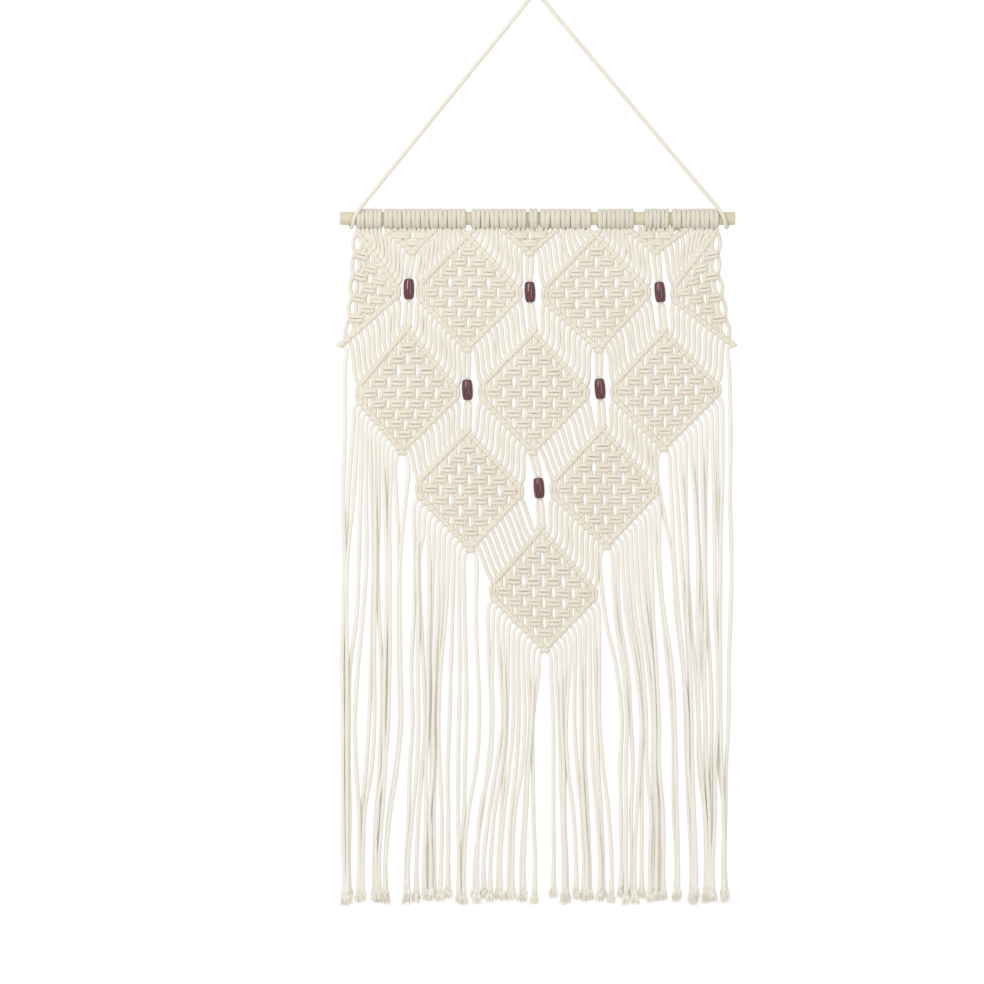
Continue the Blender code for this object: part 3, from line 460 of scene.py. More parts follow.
# Square knots: four strands each. The places are shares of the spacing between knots, beside
# the knot's middle and below it, and the depths are millimetres in front of the net's middle.
# The strands' ends stay on the lattice, where they run a little into those of the next knots.
squareKnot = {
    "strandRadius": 1.85,
    "barRadius": 2.05,
    "endDepth": 0.5,
    "endThinning": 0.78,
    "strandsAside": (0.25, 0.75),
    "runsFrom": 0.42,
    "runPoints": 5,
    "firmFrom": 0.5,
    "uneven": {"place": 0.022, "bulge": 0.05, "slant": 0.03},
    # The upper halves of the strands, and the upper one of the two bars across them.
    "leftLoop": ((-0.75, -0.58, 0.45), (-0.75, -0.50, 0.5), (-0.71, -0.34, 1.7), (-0.66, -0.15, 2.7)),
    "rightLoop": ((0.75, -0.58, 0.45), (0.75, -0.50, 0.5), (0.72, -0.34, 0.6), (0.67, -0.15, 0.2)),
    "filler": ((0.25, -0.58, 0.45), (0.25, -0.50, 0.5), (0.22, -0.28, 0.3)),
    "bar": ((-0.60, -0.10, 0.5), (-0.48, -0.18, 2.1), (0.0, -0.20, 2.5), (0.46, -0.19, 2.4),
            (0.62, -0.14, 1.2), (0.66, -0.06, -1.0)),
}


def upsideDown(places):
    return [(aside, -below, depth) for aside, below, depth in places]


def throughKnot(upperHalf):
    return [*upperHalf, *upsideDown(reversed(upperHalf))]


def layStrand(yarn, path):
    radii = np.full(len(path), squareKnot["strandRadius"])
    radii[[0, -1]] *= squareKnot["endThinning"]
    yarn.tube(path, radii, (1, 0, 0))


def tieSquareKnot(yarn, at, chance, runsOn=()):
    # at(aside, below) gives x and z. runsOn lists strands that go on to a border, each as its
    # place aside and how far it reaches below the knot's middle (above it when negative).
    knot = squareKnot
    uneven = knot["uneven"]
    wobble = chance.normal(0, uneven["place"], 2)
    bulge = 1 + chance.normal(0, uneven["bulge"])
    slant = chance.normal(0, uneven["slant"])

    def spot(aside, below, depth, back=False):
        side = -1 if back else 1
        loose = 1 - min(1.0, (below / knot["firmFrom"]) ** 2)
        x, z = at(aside * side + wobble[0] * loose, below + (wobble[1] + slant * aside) * loose)
        return np.array((x, -depth * mix(1, bulge, loose) * side, z))

    for back in (False, True):
        for places in (knot["bar"], upsideDown(knot["bar"])):
            path = smoothPath([spot(*p, back) for p in places], 2)
            yarn.tube(path, knot["barRadius"], (0, 0, 1))
    for name in ("leftLoop", "rightLoop"):
        layStrand(yarn, smoothPath([spot(*p) for p in throughKnot(knot[name])], 2))
    for side in (-1, 1):
        path = [spot(side * aside, below, depth) for aside, below, depth in throughKnot(knot["filler"])]
        layStrand(yarn, smoothPath(path, 2))
    for aside, reach in runsOn:
        start = math.copysign(knot["runsFrom"], reach)
        steps = zip(np.linspace(start, reach, knot["runPoints"]),
                    np.linspace(knot["endDepth"], 0.0, knot["runPoints"]))
        path = [(*at(aside, below), depth) for below, depth in steps]
        layStrand(yarn, [(x, -depth, z) for x, z, depth in path])


# The bars of half hitches: every strand makes two turns round the bar's own cord.
hitchBar = {
    "cord": 2.25,
    "cordFlatness": 0.72,
    "halfWidth": 3.55,
    "halfDepth": 3.6,
    "coreHalfWidth": 2.7,
    "coreFlatness": 0.9,
    "turnsPerHitch": 2,
    "pointsPerTurn": 10,
    "crowding": 0.10,
    "corePoints": 6,
    "uneven": {"drift": 0.12, "swell": 0.035},
}


def tieBar(yarn, start, end, inside, hitches, chance):
    # A helix along the bar. "start" and "end" lie on the bar's outer edge.
    bar = hitchBar
    start = np.array((start[0], 0.0, start[1]))
    end = np.array((end[0], 0.0, end[1]))
    length = np.linalg.norm(end - start)
    along = (end - start) / length
    inward = np.cross(along, (0, 1, 0))
    if inward @ (np.array((inside[0], 0.0, inside[1])) - start) < 0:
        inward = -inward
    turns = hitches * bar["turnsPerHitch"]
    count = turns * bar["pointsPerTurn"] + 1
    t = np.linspace(0, 1, count)
    angle = t * turns * math.tau
    # Pairs of turns draw together, and no two hitches are pulled quite alike.
    pull = bar["crowding"] * np.sin(t * hitches * math.tau) / hitches
    drift = np.interp(t, np.linspace(0, 1, hitches + 1),
                      chance.normal(0, bar["uneven"]["drift"], hitches + 1))
    swell = np.interp(t, np.linspace(0, 1, turns + 1),
                      chance.normal(1, bar["uneven"]["swell"], turns + 1))
    # The front of a turn leans toward the vertical, as its strand comes from above.
    leaning = 1 if along[0] * along[2] < 0 else -1
    handed = leaning * (1 if inward[2] * along[0] > 0 else -1)
    middle = start + inward * bar["halfWidth"]
    cordDepth = bar["cord"] * bar["cordFlatness"]
    inPlane = (bar["halfWidth"] - cordDepth) * swell
    inDepth = (bar["halfDepth"] - cordDepth) * swell
    path = (middle + along * ((t + pull)[:, None] * length)
            + inward * (np.cos(angle) * inPlane + drift)[:, None]
            + np.array((0, 1, 0)) * (np.sin(angle) * handed * inDepth)[:, None])
    yarn.tube(path, bar["cord"], along, flatness=bar["cordFlatness"])
    core = [middle + along * length * share for share in np.linspace(0, 1, bar["corePoints"])]
    yarn.tube(core, bar["coreHalfWidth"], (0, 1, 0), flatness=bar["coreFlatness"])
    return middle, along


# The V-shaped bars right under the heads, with three square knots in each.
vBars = {
    "hitches": 6,
    "feet": (
        {"middle": 12, "x": -127.1, "z": -38.5},
        {"middle": 36, "x": -7.6, "z": -39.5},
        {"middle": 60, "x": 120.0, "z": -38.0},
    ),
    "knotAside": 9.3,
    "upperKnotZ": -17.4,
    "lowerKnotRise": 14.0,
    "stepRight": 9.3,
    "stepDown": 8.0,
    # Strands that run on from the knots: how far beside the middle, and how far down.
    "toLedge": ((-0.75, -1.25), (-0.25, -1.25), (0.25, -1.25), (0.75, -1.25)),
    "toArm": ((0.25, 0.95), (0.75, 0.7)),
    "toTip": ((-0.75, 0.75), (-0.25, 1.1), (0.25, 1.1), (0.75, 0.75)),
    "seed": 23,
}


def vArm(foot, side):
    # From the heads to the foot, along the outer edge.
    start = (strandEdges[foot["middle"] + side * vBars["hitches"]], headRow["ledgeZ"])
    return start, (foot["x"], foot["z"])


def aroundKnot(x, z):
    return lambda aside, below: (x + aside * vBars["stepRight"], z - below * vBars["stepDown"])


def makeVBars(material):
    yarn = Yarn("vBars")
    chance = np.random.default_rng(vBars["seed"])
    for foot in vBars["feet"]:
        inside = (foot["x"], headRow["ledgeZ"])
        for side in (-1, 1):
            tieBar(yarn, *vArm(foot, side), inside, vBars["hitches"], chance)
        for side in (-1, 1):
            at = aroundKnot(foot["x"] + side * vBars["knotAside"], vBars["upperKnotZ"])
            toArm = [(side * aside, reach) for aside, reach in vBars["toArm"]]
            tieSquareKnot(yarn, at, chance, [*vBars["toLedge"], *toArm])
        at = aroundKnot(foot["x"], foot["z"] + vBars["lowerKnotRise"])
        tieSquareKnot(yarn, at, chance, vBars["toTip"])
    yarn.make(material)


makeVBars(cotton)

# The diamonds, row by row: "first" is the number of the leftmost strand, then the four outer
# corners. A half diamond has no corner on its open side.
diamonds = {
    "places": (
        {"row": 1, "first": -11, "left": None, "right": (-138.7, -74.2),
         "top": (-178.0, -13.2), "bottom": (-198.0, -132.2),
         "openTop": (-185.9, -21.5), "openKnee": (-191.2, -97.0)},
        {"row": 1, "first": 13, "left": (-122.8, -74.2), "right": (-15.6, -76.2),
         "top": (-70.8, -11.8), "bottom": (-71.5, -137.0)},
        {"row": 1, "first": 37, "left": (4.0, -76.8), "right": (114.6, -74.8),
         "top": (59.0, -11.6), "bottom": (62.4, -137.6)},
        {"row": 1, "first": 61, "left": (134.7, -76.0), "right": None,
         "top": (177.0, -13.0), "bottom": (197.0, -132.0),
         "openTop": (184.6, -21.5), "openKnee": (183.8, -52.0)},
        {"row": 2, "first": 1, "left": (-184.5, -177.0), "right": (-78.6, -177.2),
         "top": (-132.2, -106.5), "bottom": (-137.6, -240.8)},
        {"row": 2, "first": 25, "left": (-60.0, -175.6), "right": (52.6, -177.0),
         "top": (-4.2, -110.2), "bottom": (-4.8, -241.2)},
        {"row": 2, "first": 49, "left": (74.0, -175.2), "right": (186.0, -173.4),
         "top": (127.4, -109.6), "bottom": (127.6, -237.4)},
        {"row": 3, "first": 13, "left": (-123.8, -273.2), "right": (-13.8, -276.4),
         "top": (-71.6, -210.8), "bottom": (-68.0, -339.6)},
        {"row": 3, "first": 37, "left": (12.6, -273.6), "right": (122.0, -275.2),
         "top": (65.4, -207.9), "bottom": (69.9, -336.4)},
        {"row": 4, "first": 25, "left": (-48.8, -376.8), "right": (61.0, -380.4),
         "top": (3.8, -309.5), "bottom": (7.4, -441.0)},
    ),
    "hitches": 11,
    "sideFlat": {"left": 17.0, "right": 11.0},
    "knotReach": 4,
    "latticeAcross": 5.5,
    "latticeDown": 6.1,
    "halfLatticeDown": 5.75,
    "bluntRows": 0.65,
    "underBorder": 0.45,
    "leastReach": 0.6,
    "halfMiddleZ": -68.3,
    "halfMiddleSlope": -1.5,
    "halfRow": 10.8,
    "halfRowClosing": 0.13,
    "openStretch": 1.25,
    "seed": 100,
}


def wholePlace(corners):
    # Lattice to millimetres: u counts two strands to the right, v counts rows of knots down.
    top, right, bottom, left = (np.array(corners[k]) for k in ("top", "right", "bottom", "left"))
    middle = (left + right) / 2

    def place(u, v):
        end = bottom if v > 0 else top
        share = abs(v) / diamonds["latticeDown"]
        return middle + (end - middle) * share + u / diamonds["latticeAcross"] * (right - left) / 2

    return place


def halfPlace(corners):
    # Here u counts in from the open side, which runs from openTop to the bottom corner.
    tip = corners["right"] or corners["left"]
    upper, knee, lower = corners["openTop"], corners["openKnee"], corners["bottom"]

    def openSideX(z):
        a, b = (upper, knee) if z > knee[1] else (knee, lower)
        return mix(a[0], b[0], (z - a[1]) / (b[1] - a[1]))

    def place(u, v):
        # The rows draw together toward the side corner.
        row = diamonds["halfRow"] - diamonds["halfRowClosing"] * u * u
        z = diamonds["halfMiddleZ"] + diamonds["halfMiddleSlope"] * u - v * row
        return np.array((openSideX(z) + (tip[0] - openSideX(tip[1])) * u / diamonds["latticeAcross"], z))

    return place


def borderedSides(diamond):
    return [side for side in ("left", "right") if diamond[side]]


def cornersOf(diamond):
    corners = {"top": diamond["top"], "bottom": diamond["bottom"]}
    for side in borderedSides(diamond):
        x, z = diamond[side]
        corners[side + "Upper"] = (x, z + diamonds["sideFlat"][side] / 2)
        corners[side + "Lower"] = (x, z - diamonds["sideFlat"][side] / 2)
    return corners


# Down the open side of a half diamond two strands pass every other row of knots by: the outer
# one bows out and the inner one lies against the next knot. Both are given in lattice steps.
edgeLoops = {
    "outer": {"foot": 0.06, "bow": -0.03},
    "inner": {"foot": 0.69, "bow": 0.82},
    "firstReach": 1.15,
    "reach": 0.6,
    "lastReach": 0.9,
    "ankle": 0.52,
    "knee": 0.26,
    "kneeBow": 0.7,
    "uneven": 0.03,
}


def tieEdgeLoops(yarn, place, headX, chance):
    loops = edgeLoops
    lastRow = diamonds["knotReach"]
    for v in range(-lastRow, lastRow + 1, 2):
        for name in ("outer", "inner"):
            foot = loops[name]["foot"]
            bow = loops[name]["bow"] + chance.normal(0, loops["uneven"])
            up = loops["firstReach"] if v == -lastRow else loops["reach"]
            low = loops["lastReach"] if v == lastRow else loops["reach"]
            bend = mix(foot, bow, loops["kneeBow"])
            points = [(foot, -up), (foot, -loops["ankle"]), (bend, -loops["knee"]), (bow, 0.0),
                      (bend, loops["knee"]), (foot, loops["ankle"]), (foot, low)]
            path = []
            for u, dv in points:
                x, z = place(u, v + dv)
                path.append((x, -squareKnot["endDepth"], z))
            if v == -lastRow and name == "outer":
                # The outermost strand comes straight from its head.
                path[0] = (headX, 0.0, headRow["barZ"])
            layStrand(yarn, smoothPath(path, 3))


def strandsToBorder(u, v, flip, whole):
    # Strands of the outermost knots run straight on until they are under the border.
    if abs(u) + abs(v) != diamonds["knotReach"]:
        return []
    full = diamonds["latticeDown"] if whole else diamonds["halfLatticeDown"]
    blunt = diamonds["bluntRows"]
    ways = (-1, 1) if v == 0 else (np.sign(v),)
    sides = (-1, 1) if u == 0 else (np.sign(u),)
    runs = []
    for way in ways:
        for side in sides:
            for aside in squareKnot["strandsAside"]:
                border = blunt + (full - blunt) * (1 - (abs(u) + aside) / diamonds["latticeAcross"])
                reach = max(diamonds["leastReach"], border - diamonds["underBorder"] - abs(v))
                runs.append((side * flip * aside, way * reach))
    return runs


def latticeKnot(place, u, v, flip, stretch):
    def at(aside, below):
        towardOpen = aside * flip < 0
        return place(u + flip * aside * (stretch if towardOpen else 1), v + below)

    return at


# The border cord turns each blunt side corner with two strands beside it. They start and end
# under the bars.
sideTurn = {
    "inward": (1.9, 5.2),
    "halfHeight": 4.5,
    "depth": 1.2,
    "tipDepth": 1.8,
    "tipOutward": 0.4,
    "underBar": 4.0,
}


def turnAtSide(yarn, tip, inward, upper, lower):
    turn = sideTurn
    roots = [middle + along * turn["underBar"] for middle, along in (upper, lower)]
    for offset in turn["inward"]:
        x = tip[0] + inward * offset
        tipX = tip[0] + inward * (offset - turn["tipOutward"])
        points = [roots[0], (x, -turn["depth"], tip[1] + turn["halfHeight"]),
                  (tipX, -turn["tipDepth"], tip[1]),
                  (x, -turn["depth"], tip[1] - turn["halfHeight"]), roots[1]]
        yarn.tube(smoothPath(points, 3), squareKnot["strandRadius"], (1, 0, 0))


def makeDiamond(number, diamond, material):
    yarn = Yarn(f"diamond{number}")
    chance = np.random.default_rng(diamonds["seed"] + number)
    corners = cornersOf(diamond)
    sides = borderedSides(diamond)
    whole = len(sides) == 2
    place = wholePlace(diamond) if whole else halfPlace(diamond)
    flip = 1 if whole or diamond["right"] else -1
    reach = diamonds["knotReach"]
    for u in range(-reach if whole else 1, reach + 1):
        # The knots at the open side reach out to the outermost strand.
        stretch = 1 if whole or u > 1 else diamonds["openStretch"]
        for v in range(abs(u) - reach, reach - abs(u) + 1):
            if (u + v) % 2 == 0:
                at = latticeKnot(place, u, v, flip, stretch)
                tieSquareKnot(yarn, at, chance, strandsToBorder(u, v, flip, whole))
    if not whole:
        tieEdgeLoops(yarn, place, strandTopX[0] if diamond["right"] else strandTopX[-1], chance)

    inside = (np.array(diamond["top"]) + np.array(diamond["bottom"])) / 2
    hitches = diamonds["hitches"]
    for side in sides:
        upper, lower = (tieBar(yarn, corners[side + level], corners[end], inside, hitches, chance)
                        for level, end in (("Upper", "top"), ("Lower", "bottom")))
        turnAtSide(yarn, diamond[side], 1 if side == "left" else -1, upper, lower)
    yarn.make(material)


for number, diamond in enumerate(diamonds["places"], start=1):
    makeDiamond(number, diamond, cotton)

# Strands between the bars leave one bar nearly square to it, hang, and meet the next one so.
slackStrand = {
    "radius": 2.0,
    "start": 2.0,
    "headStart": 4.6,
    "pull": 0.88,
    "pullLength": 34.0,
    "towardPlumb": 0.35,
    "sway": 0.35,
    "depthSway": 0.7,
    "spacing": 3.0,
    "seed": 5,
}

beads = {
    "hangs": (
        {"middle": 12, "afterRow": 0, "node": "bead_1", "lean": 0.0},
        {"middle": 36, "afterRow": 0, "node": "bead_2", "lean": 1.0},
        {"middle": 60, "afterRow": 0, "node": "bead_3", "lean": 2.0},
        {"middle": 24, "afterRow": 1, "node": "bead_4", "lean": 1.0},
        {"middle": 48, "afterRow": 1, "node": "bead_5", "lean": 1.5},
        {"middle": 36, "afterRow": 2, "node": "bead_6", "lean": 1.5},
    ),
    "length": 20.6,
    "radius": 5.7,
    "bore": 3.05,
    "boreMouth": 0.97,
    "sides": 40,
    "sharpDegrees": 50,
    # The half of the outline from the middle to one end, as shares of the half length and radius.
    "outline": (
        {"along": 0.0, "radius": 1.0},
        {"along": 0.35, "radius": 0.985},
        {"along": 0.6, "radius": 0.94},
        {"along": 0.8, "radius": 0.87},
        {"along": 0.93, "radius": 0.785},
        {"along": 0.985, "radius": 0.70},
        {"along": 1.0, "radius": 0.62},
    ),
    # The strands through the bore, from above it to below it.
    "threads": (
        {"along": -1.5, "aside": 2.4, "radius": 1.65},
        {"along": -1.05, "aside": 1.42, "radius": 1.35},
        {"along": 0.0, "aside": 1.38, "radius": 1.3},
        {"along": 1.05, "aside": 1.42, "radius": 1.35},
        {"along": 1.5, "aside": 2.4, "radius": 1.65},
    ),
}


def barRoots(start, end, outward, hitches):
    # Where strands leave a bar, and the way out of it.
    start, end = np.array(start), np.array(end)
    length = np.linalg.norm(end - start)
    normal = np.array((-(end - start)[1], (end - start)[0])) / length
    if normal[1] * outward < 0:
        normal = -normal
    return [{"x": p[0], "z": p[1], "normal": normal}
            for p in (mix(start, end, (k + 0.5) / hitches) for k in range(hitches))]


def strandOn(diamond, side, hitch):
    lastStrand = 2 * diamonds["hitches"] - 1
    return diamond["first"] + (hitch if side == "left" else lastStrand - hitch)


def traceStrands():
    # Walks down the rows and gives every stretch of strand between two bars, and the roots that
    # the fringe hangs from.
    down = np.array((0.0, -1.0))
    hanging = {k: {"x": x, "z": headRow["ledgeZ"], "normal": down} for k, x in enumerate(strandTopX)}
    half = vBars["hitches"]
    for foot in vBars["feet"]:
        for side in (-1, 1):
            for k, root in enumerate(barRoots(*vArm(foot, side), -1, half)):
                hanging[foot["middle"] + (k - half if side < 0 else half - 1 - k)] = root
    stretches = []
    for diamond in diamonds["places"]:
        corners = cornersOf(diamond)
        hitches = diamonds["hitches"]
        for side in borderedSides(diamond):
            upper = barRoots(corners[side + "Upper"], corners["top"], 1, hitches)
            lower = barRoots(corners[side + "Lower"], corners["bottom"], -1, hitches)
            for k in range(hitches):
                strand = strandOn(diamond, side, k)
                if 0 <= strand < strandCount:
                    stretches.append({"strand": strand, "row": diamond["row"],
                                      "from": hanging[strand], "to": upper[k]})
                    hanging[strand] = lower[k]
    return stretches, hanging


def beadOf(stretch):
    for bead in beads["hangs"]:
        threaded = stretch["strand"] in (bead["middle"] - 1, bead["middle"])
        if threaded and bead["afterRow"] == stretch["row"] - 2:
            return bead
    return None


def beadMiddle(bead):
    low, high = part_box(bead["node"])
    return (np.array((low + high) / 2) - rodMiddle) / mm


def throughBead(bead, stretch, a, b):
    # Two strands squeeze side by side through a bead's bore.
    middle = beadMiddle(bead)
    side = -1 if stretch["strand"] < bead["middle"] else 1
    half = beads["length"] / 2
    corners = [(a[0], a[1], slackStrand["radius"])]
    for p in beads["threads"]:
        x = middle[0] + bead["lean"] / 2 * p["along"] + side * p["aside"]
        corners.append((x, middle[2] - half * p["along"], p["radius"]))
    corners.append((b[0], b[1], slackStrand["radius"]))
    path = smoothPath(corners, 4)
    return path[:, :2], path[:, 2]


def makeSlackStrands(stretches, material):
    yarn = Yarn("slackStrands")
    look = slackStrand
    chance = np.random.default_rng(look["seed"])
    for stretch in stretches:
        start, end = stretch["from"], stretch["to"]
        a = np.array((start["x"], start["z"]))
        b = np.array((end["x"], end["z"]))
        length = np.linalg.norm(b - a)
        away = mix(start["normal"], np.array((0.0, -1.0)), look["towardPlumb"])
        arrive = -mix(end["normal"], np.array((0.0, 1.0)), look["towardPlumb"])
        pull = look["pull"] * min(length, look["pullLength"])
        t = np.linspace(0, 1, max(5, round(length / look["spacing"])))[:, None]
        # A Hermite curve from bar to bar.
        flat = ((2 * t ** 3 - 3 * t ** 2 + 1) * a + (t ** 3 - 2 * t ** 2 + t) * away * pull
                + (3 * t ** 2 - 2 * t ** 3) * b + (t ** 3 - t ** 2) * arrive * pull)
        sway = chance.normal(0, look["sway"])
        depth = chance.normal(0, look["depthSway"]) * np.sin(t[:, 0] * math.pi)
        bead = beadOf(stretch)
        radius = np.full(len(t), look["radius"])
        if bead:
            flat, radius = throughBead(bead, stretch, a, b)
            depth = np.zeros(len(flat))
            sway = 0.0
        share = np.linspace(0, 1, len(flat))
        path = np.stack([flat[:, 0] + sway * np.sin(share * math.pi), depth, flat[:, 1]], 1)
        startReach = look["headStart"] if start["z"] == headRow["ledgeZ"] else look["start"]
        first = path[0] - np.array((away[0], 0, away[1])) * startReach
        last = path[-1] + np.array((arrive[0], 0, arrive[1])) * look["start"]
        path = np.vstack([first, path, last])
        radius = np.concatenate([radius[:1], radius, radius[-1:]])
        yarn.tube(path, radius, (0, 1, 0))
    yarn.make(material)


stretches, fringeRoots = traceStrands()
makeSlackStrands(stretches, slackCotton)

# The fringe hangs in loose clumps. Each level gives, from left to right, how many strands hang
# together and between which x they do. The first level has a left and a right half, as the
# middle strands are still knotted there.
fringe = {
    "levels": (
        {"z": -346.0, "first": 0, "clumps": (
            (3, -198, -190), (1, -183, -179), (1, -175, -171), (3, -169, -159), (3, -155, -147),
            (2, -142, -137), (3, -127, -117), (3, -115, -105), (1, -104, -101), (1, -99, -96),
            (1, -93, -89), (1, -87, -83), (1, -81, -76), (1, -74, -71))},
        {"z": -346.0, "first": 47, "clumps": (
            (4, 76, 90), (1, 92, 96), (1, 96, 100), (1, 101, 105), (1, 107, 110), (2, 112, 118),
            (2, 119, 126), (2, 135, 141), (1, 144, 148), (2, 149, 154), (2, 160, 167), (2, 167, 172),
            (1, 178, 181), (2, 183, 187), (1, 195, 198))},
        {"z": -508.0, "first": 0, "clumps": (
            (4, -200, -188), (1, -187, -183), (1, -173, -168), (1, -167, -163), (4, -161, -148),
            (2, -142, -135), (1, -128, -125), (1, -122, -119), (6, -117, -97), (1, -91, -87),
            (1, -82, -77), (1, -74, -70), (1, -61, -57), (2, -49, -43), (3, -38, -28), (1, -26, -23),
            (1, -21, -17), (1, -15, -11), (3, -10, -2), (1, 15, 17), (4, 19, 32), (1, 36, 39),
            (2, 41, 51), (1, 52, 56), (2, 57, 66), (1, 84, 87), (1, 89, 92), (1, 93, 96),
            (3, 102, 113), (4, 114, 126), (2, 134, 142), (4, 147, 159), (2, 161, 165), (2, 168, 172),
            (1, 175, 178), (3, 180, 188), (1, 192, 195))},
        {"z": -650.0, "first": 0, "clumps": (
            (4, -199, -188), (3, -183, -174), (4, -168, -158), (2, -156, -152), (2, -136, -128),
            (1, -125, -120), (4, -118, -101), (1, -100, -95), (1, -92, -89), (3, -83, -71),
            (2, -66, -58), (1, -56, -53), (1, -50, -45), (2, -42, -35), (2, -32, -22), (2, -19, -11),
            (1, -4, -1), (1, 14, 19), (3, 24, 32), (1, 37, 41), (3, 44, 56), (2, 60, 70), (1, 73, 77),
            (1, 84, 86), (1, 88, 91), (2, 93, 101), (1, 104, 107), (5, 110, 131), (2, 138, 145),
            (4, 153, 163), (6, 168, 180), (3, 186, 192))},
        {"z": -674.0, "first": 0, "clumps": (
            (4, -198, -188), (2, -186, -180), (4, -170, -157), (3, -165, -155), (2, -135, -129),
            (1, -128, -123), (4, -118, -105), (1, -104, -98), (1, -96, -90), (3, -80, -65),
            (2, -62, -53), (2, -53, -45), (2, -43, -35), (1, -33, -28), (1, -24, -20), (2, -17, -10),
            (1, -3, 2), (1, 20, 25), (2, 27, 32), (1, 34, 38), (3, 43, 53), (2, 54, 64), (2, 67, 76),
            (1, 79, 84), (2, 86, 93), (2, 95, 103), (1, 105, 109), (4, 111, 131), (2, 139, 148),
            (5, 150, 163), (4, 165, 178), (4, 180, 192))},
    ),
    "endZ": -683.5,
    "uneven": {"end": 7.0, "layer": 0.25, "bend": 0.8, "weave": 0.4, "tip": 0.5, "swell": 0.05},
    "radius": 1.9,
    "layer": 1.6,
    "spacing": 6.0,
    "endStep": 1.7,
    "swellStep": 37.0,
    "levelGap": 25.0,
    "bendEvery": 55.0,
    "nodes": {
        "fringe_left_outer": (1, 12),
        "fringe_left_inner": (13, 24),
        "fringe_middle": (25, 46),
        "fringe_right_inner": (47, 58),
        "fringe_right_outer": (59, 70),
    },
    "outerAside": 3.5,
    # How a strand leaves its border: how far it goes out along the border's normal, how much of
    # its own step aside and layer it has taken, and how far it has dropped.
    "leaving": (
        {"outX": -2.0, "outZ": -2.0, "aside": 0.0, "layer": 0.0, "drop": 0.0},
        {"outX": 3.4, "outZ": 3.4, "aside": 0.0, "layer": 0.1, "drop": 0.0},
        {"outX": 5.4, "outZ": 0.0, "aside": 0.5, "layer": 0.3, "drop": 10.0},
        {"outX": 5.6, "outZ": 0.0, "aside": 1.0, "layer": 0.5, "drop": 24.0},
    ),
    "seed": 300,
    "outerSeed": 299,
}

# A cut end opens into a brush of loose fibres. They are drawn coarser than real ones, to show.
frayedEnd = {
    "fibres": 110,
    "root": (1.5, 6.0),
    "reach": (3.0, 9.5),
    "flare": (1.06, 1.13, 1.22, 1.32, 1.42),
    "rootSpread": 2.1,
    "tuft": ((-1.5, 2.6), (0.8, 2.7), (2.6, 2.2), (3.4, 0.9)),
    "tuftSides": 12,
    "tuftFlatness": 0.85,
    "spread": (5.2, 3.2),
    "crowding": 0.6,
    "bulge": 0.3,
    "fibreRadii": (0.34, 0.323, 0.238),
    "seed": 301,
}


def placeAtLevel(strand, level):
    first = level["first"]
    for count, fromX, toX in level["clumps"]:
        if first <= strand < first + count:
            inset = min(fringe["radius"], (toX - fromX) / 2)
            share = (strand - first + 0.5) / count if count > 1 else 0.5
            return mix(fromX + inset, toX - inset, share)
        first += count
    return None


def hangFringeStrand(yarn, strand, root, chance):
    uneven = fringe["uneven"]
    layer = fringe["layer"] * (1 if strand % 2 else -1) + chance.normal(0, uneven["layer"])
    away = root["normal"]
    aside = {0: -fringe["outerAside"], strandCount - 1: fringe["outerAside"]}.get(strand, 0.0)
    corners = [(root["x"] + away[0] * p["outX"] + aside * p["aside"], layer * p["layer"],
                root["z"] + away[1] * p["outZ"] - p["drop"]) for p in fringe["leaving"]]
    startX, startZ = corners[-1][0], corners[-1][2]
    for level in fringe["levels"]:
        x = placeAtLevel(strand, level)
        z = level["z"]
        if x is None or z > startZ - fringe["levelGap"]:
            continue
        # Small bends between the levels.
        parts = max(1, round((startZ - z) / fringe["bendEvery"]))
        for k in range(1, parts + 1):
            t = k / parts
            bend = chance.normal(0, uneven["bend"]) if k < parts else 0.0
            corners.append((mix(startX, x, t * t * (3 - 2 * t)) + bend,
                            layer + chance.normal(0, uneven["weave"]), mix(startZ, z, t)))
        startX, startZ = x, z
    endZ = fringe["endZ"] + uneven["end"] * (abs(math.sin(strand * fringe["endStep"])) - 0.5)
    corners.append((startX + chance.normal(0, uneven["tip"]), layer, endZ))
    path = evenly(smoothPath(corners, 6), fringe["spacing"])[0]
    share = np.linspace(0, 1, len(path))
    radius = fringe["radius"] * (1 + uneven["swell"] * np.sin(share * fringe["swellStep"] + strand))
    radius[-len(frayedEnd["flare"]):] *= frayedEnd["flare"]
    yarn.tube(path, radius, (0, 1, 0))
    return path[-1], path[-1] - path[-2]


def frayEnd(yarn, end, chance):
    # The fibres start inside the strand and fan out past its end.
    tip, heading = end
    heading = heading / np.linalg.norm(heading)
    look = frayedEnd
    tuft = [tip + heading * below for below, radius in look["tuft"]]
    tuftRadii = [radius for below, radius in look["tuft"]]
    yarn.tube(tuft, tuftRadii, (1, 0, 0), look["tuftSides"], look["tuftFlatness"])
    for k in range(look["fibres"]):
        angle = chance.uniform(0, math.tau)
        out = chance.uniform(0, 1) ** look["crowding"]
        aside = np.array((math.cos(angle), math.sin(angle), 0))
        wide = aside * (*look["spread"], 0) * out
        root = tip - heading * chance.uniform(*look["root"]) + aside * look["rootSpread"] * out
        last = tip + heading * chance.uniform(*look["reach"]) + wide
        middle = mix(root, last, 0.5) + aside * look["bulge"]
        yarn.tube([root, middle, last], look["fibreRadii"], (0, 1, 0), sides=3)


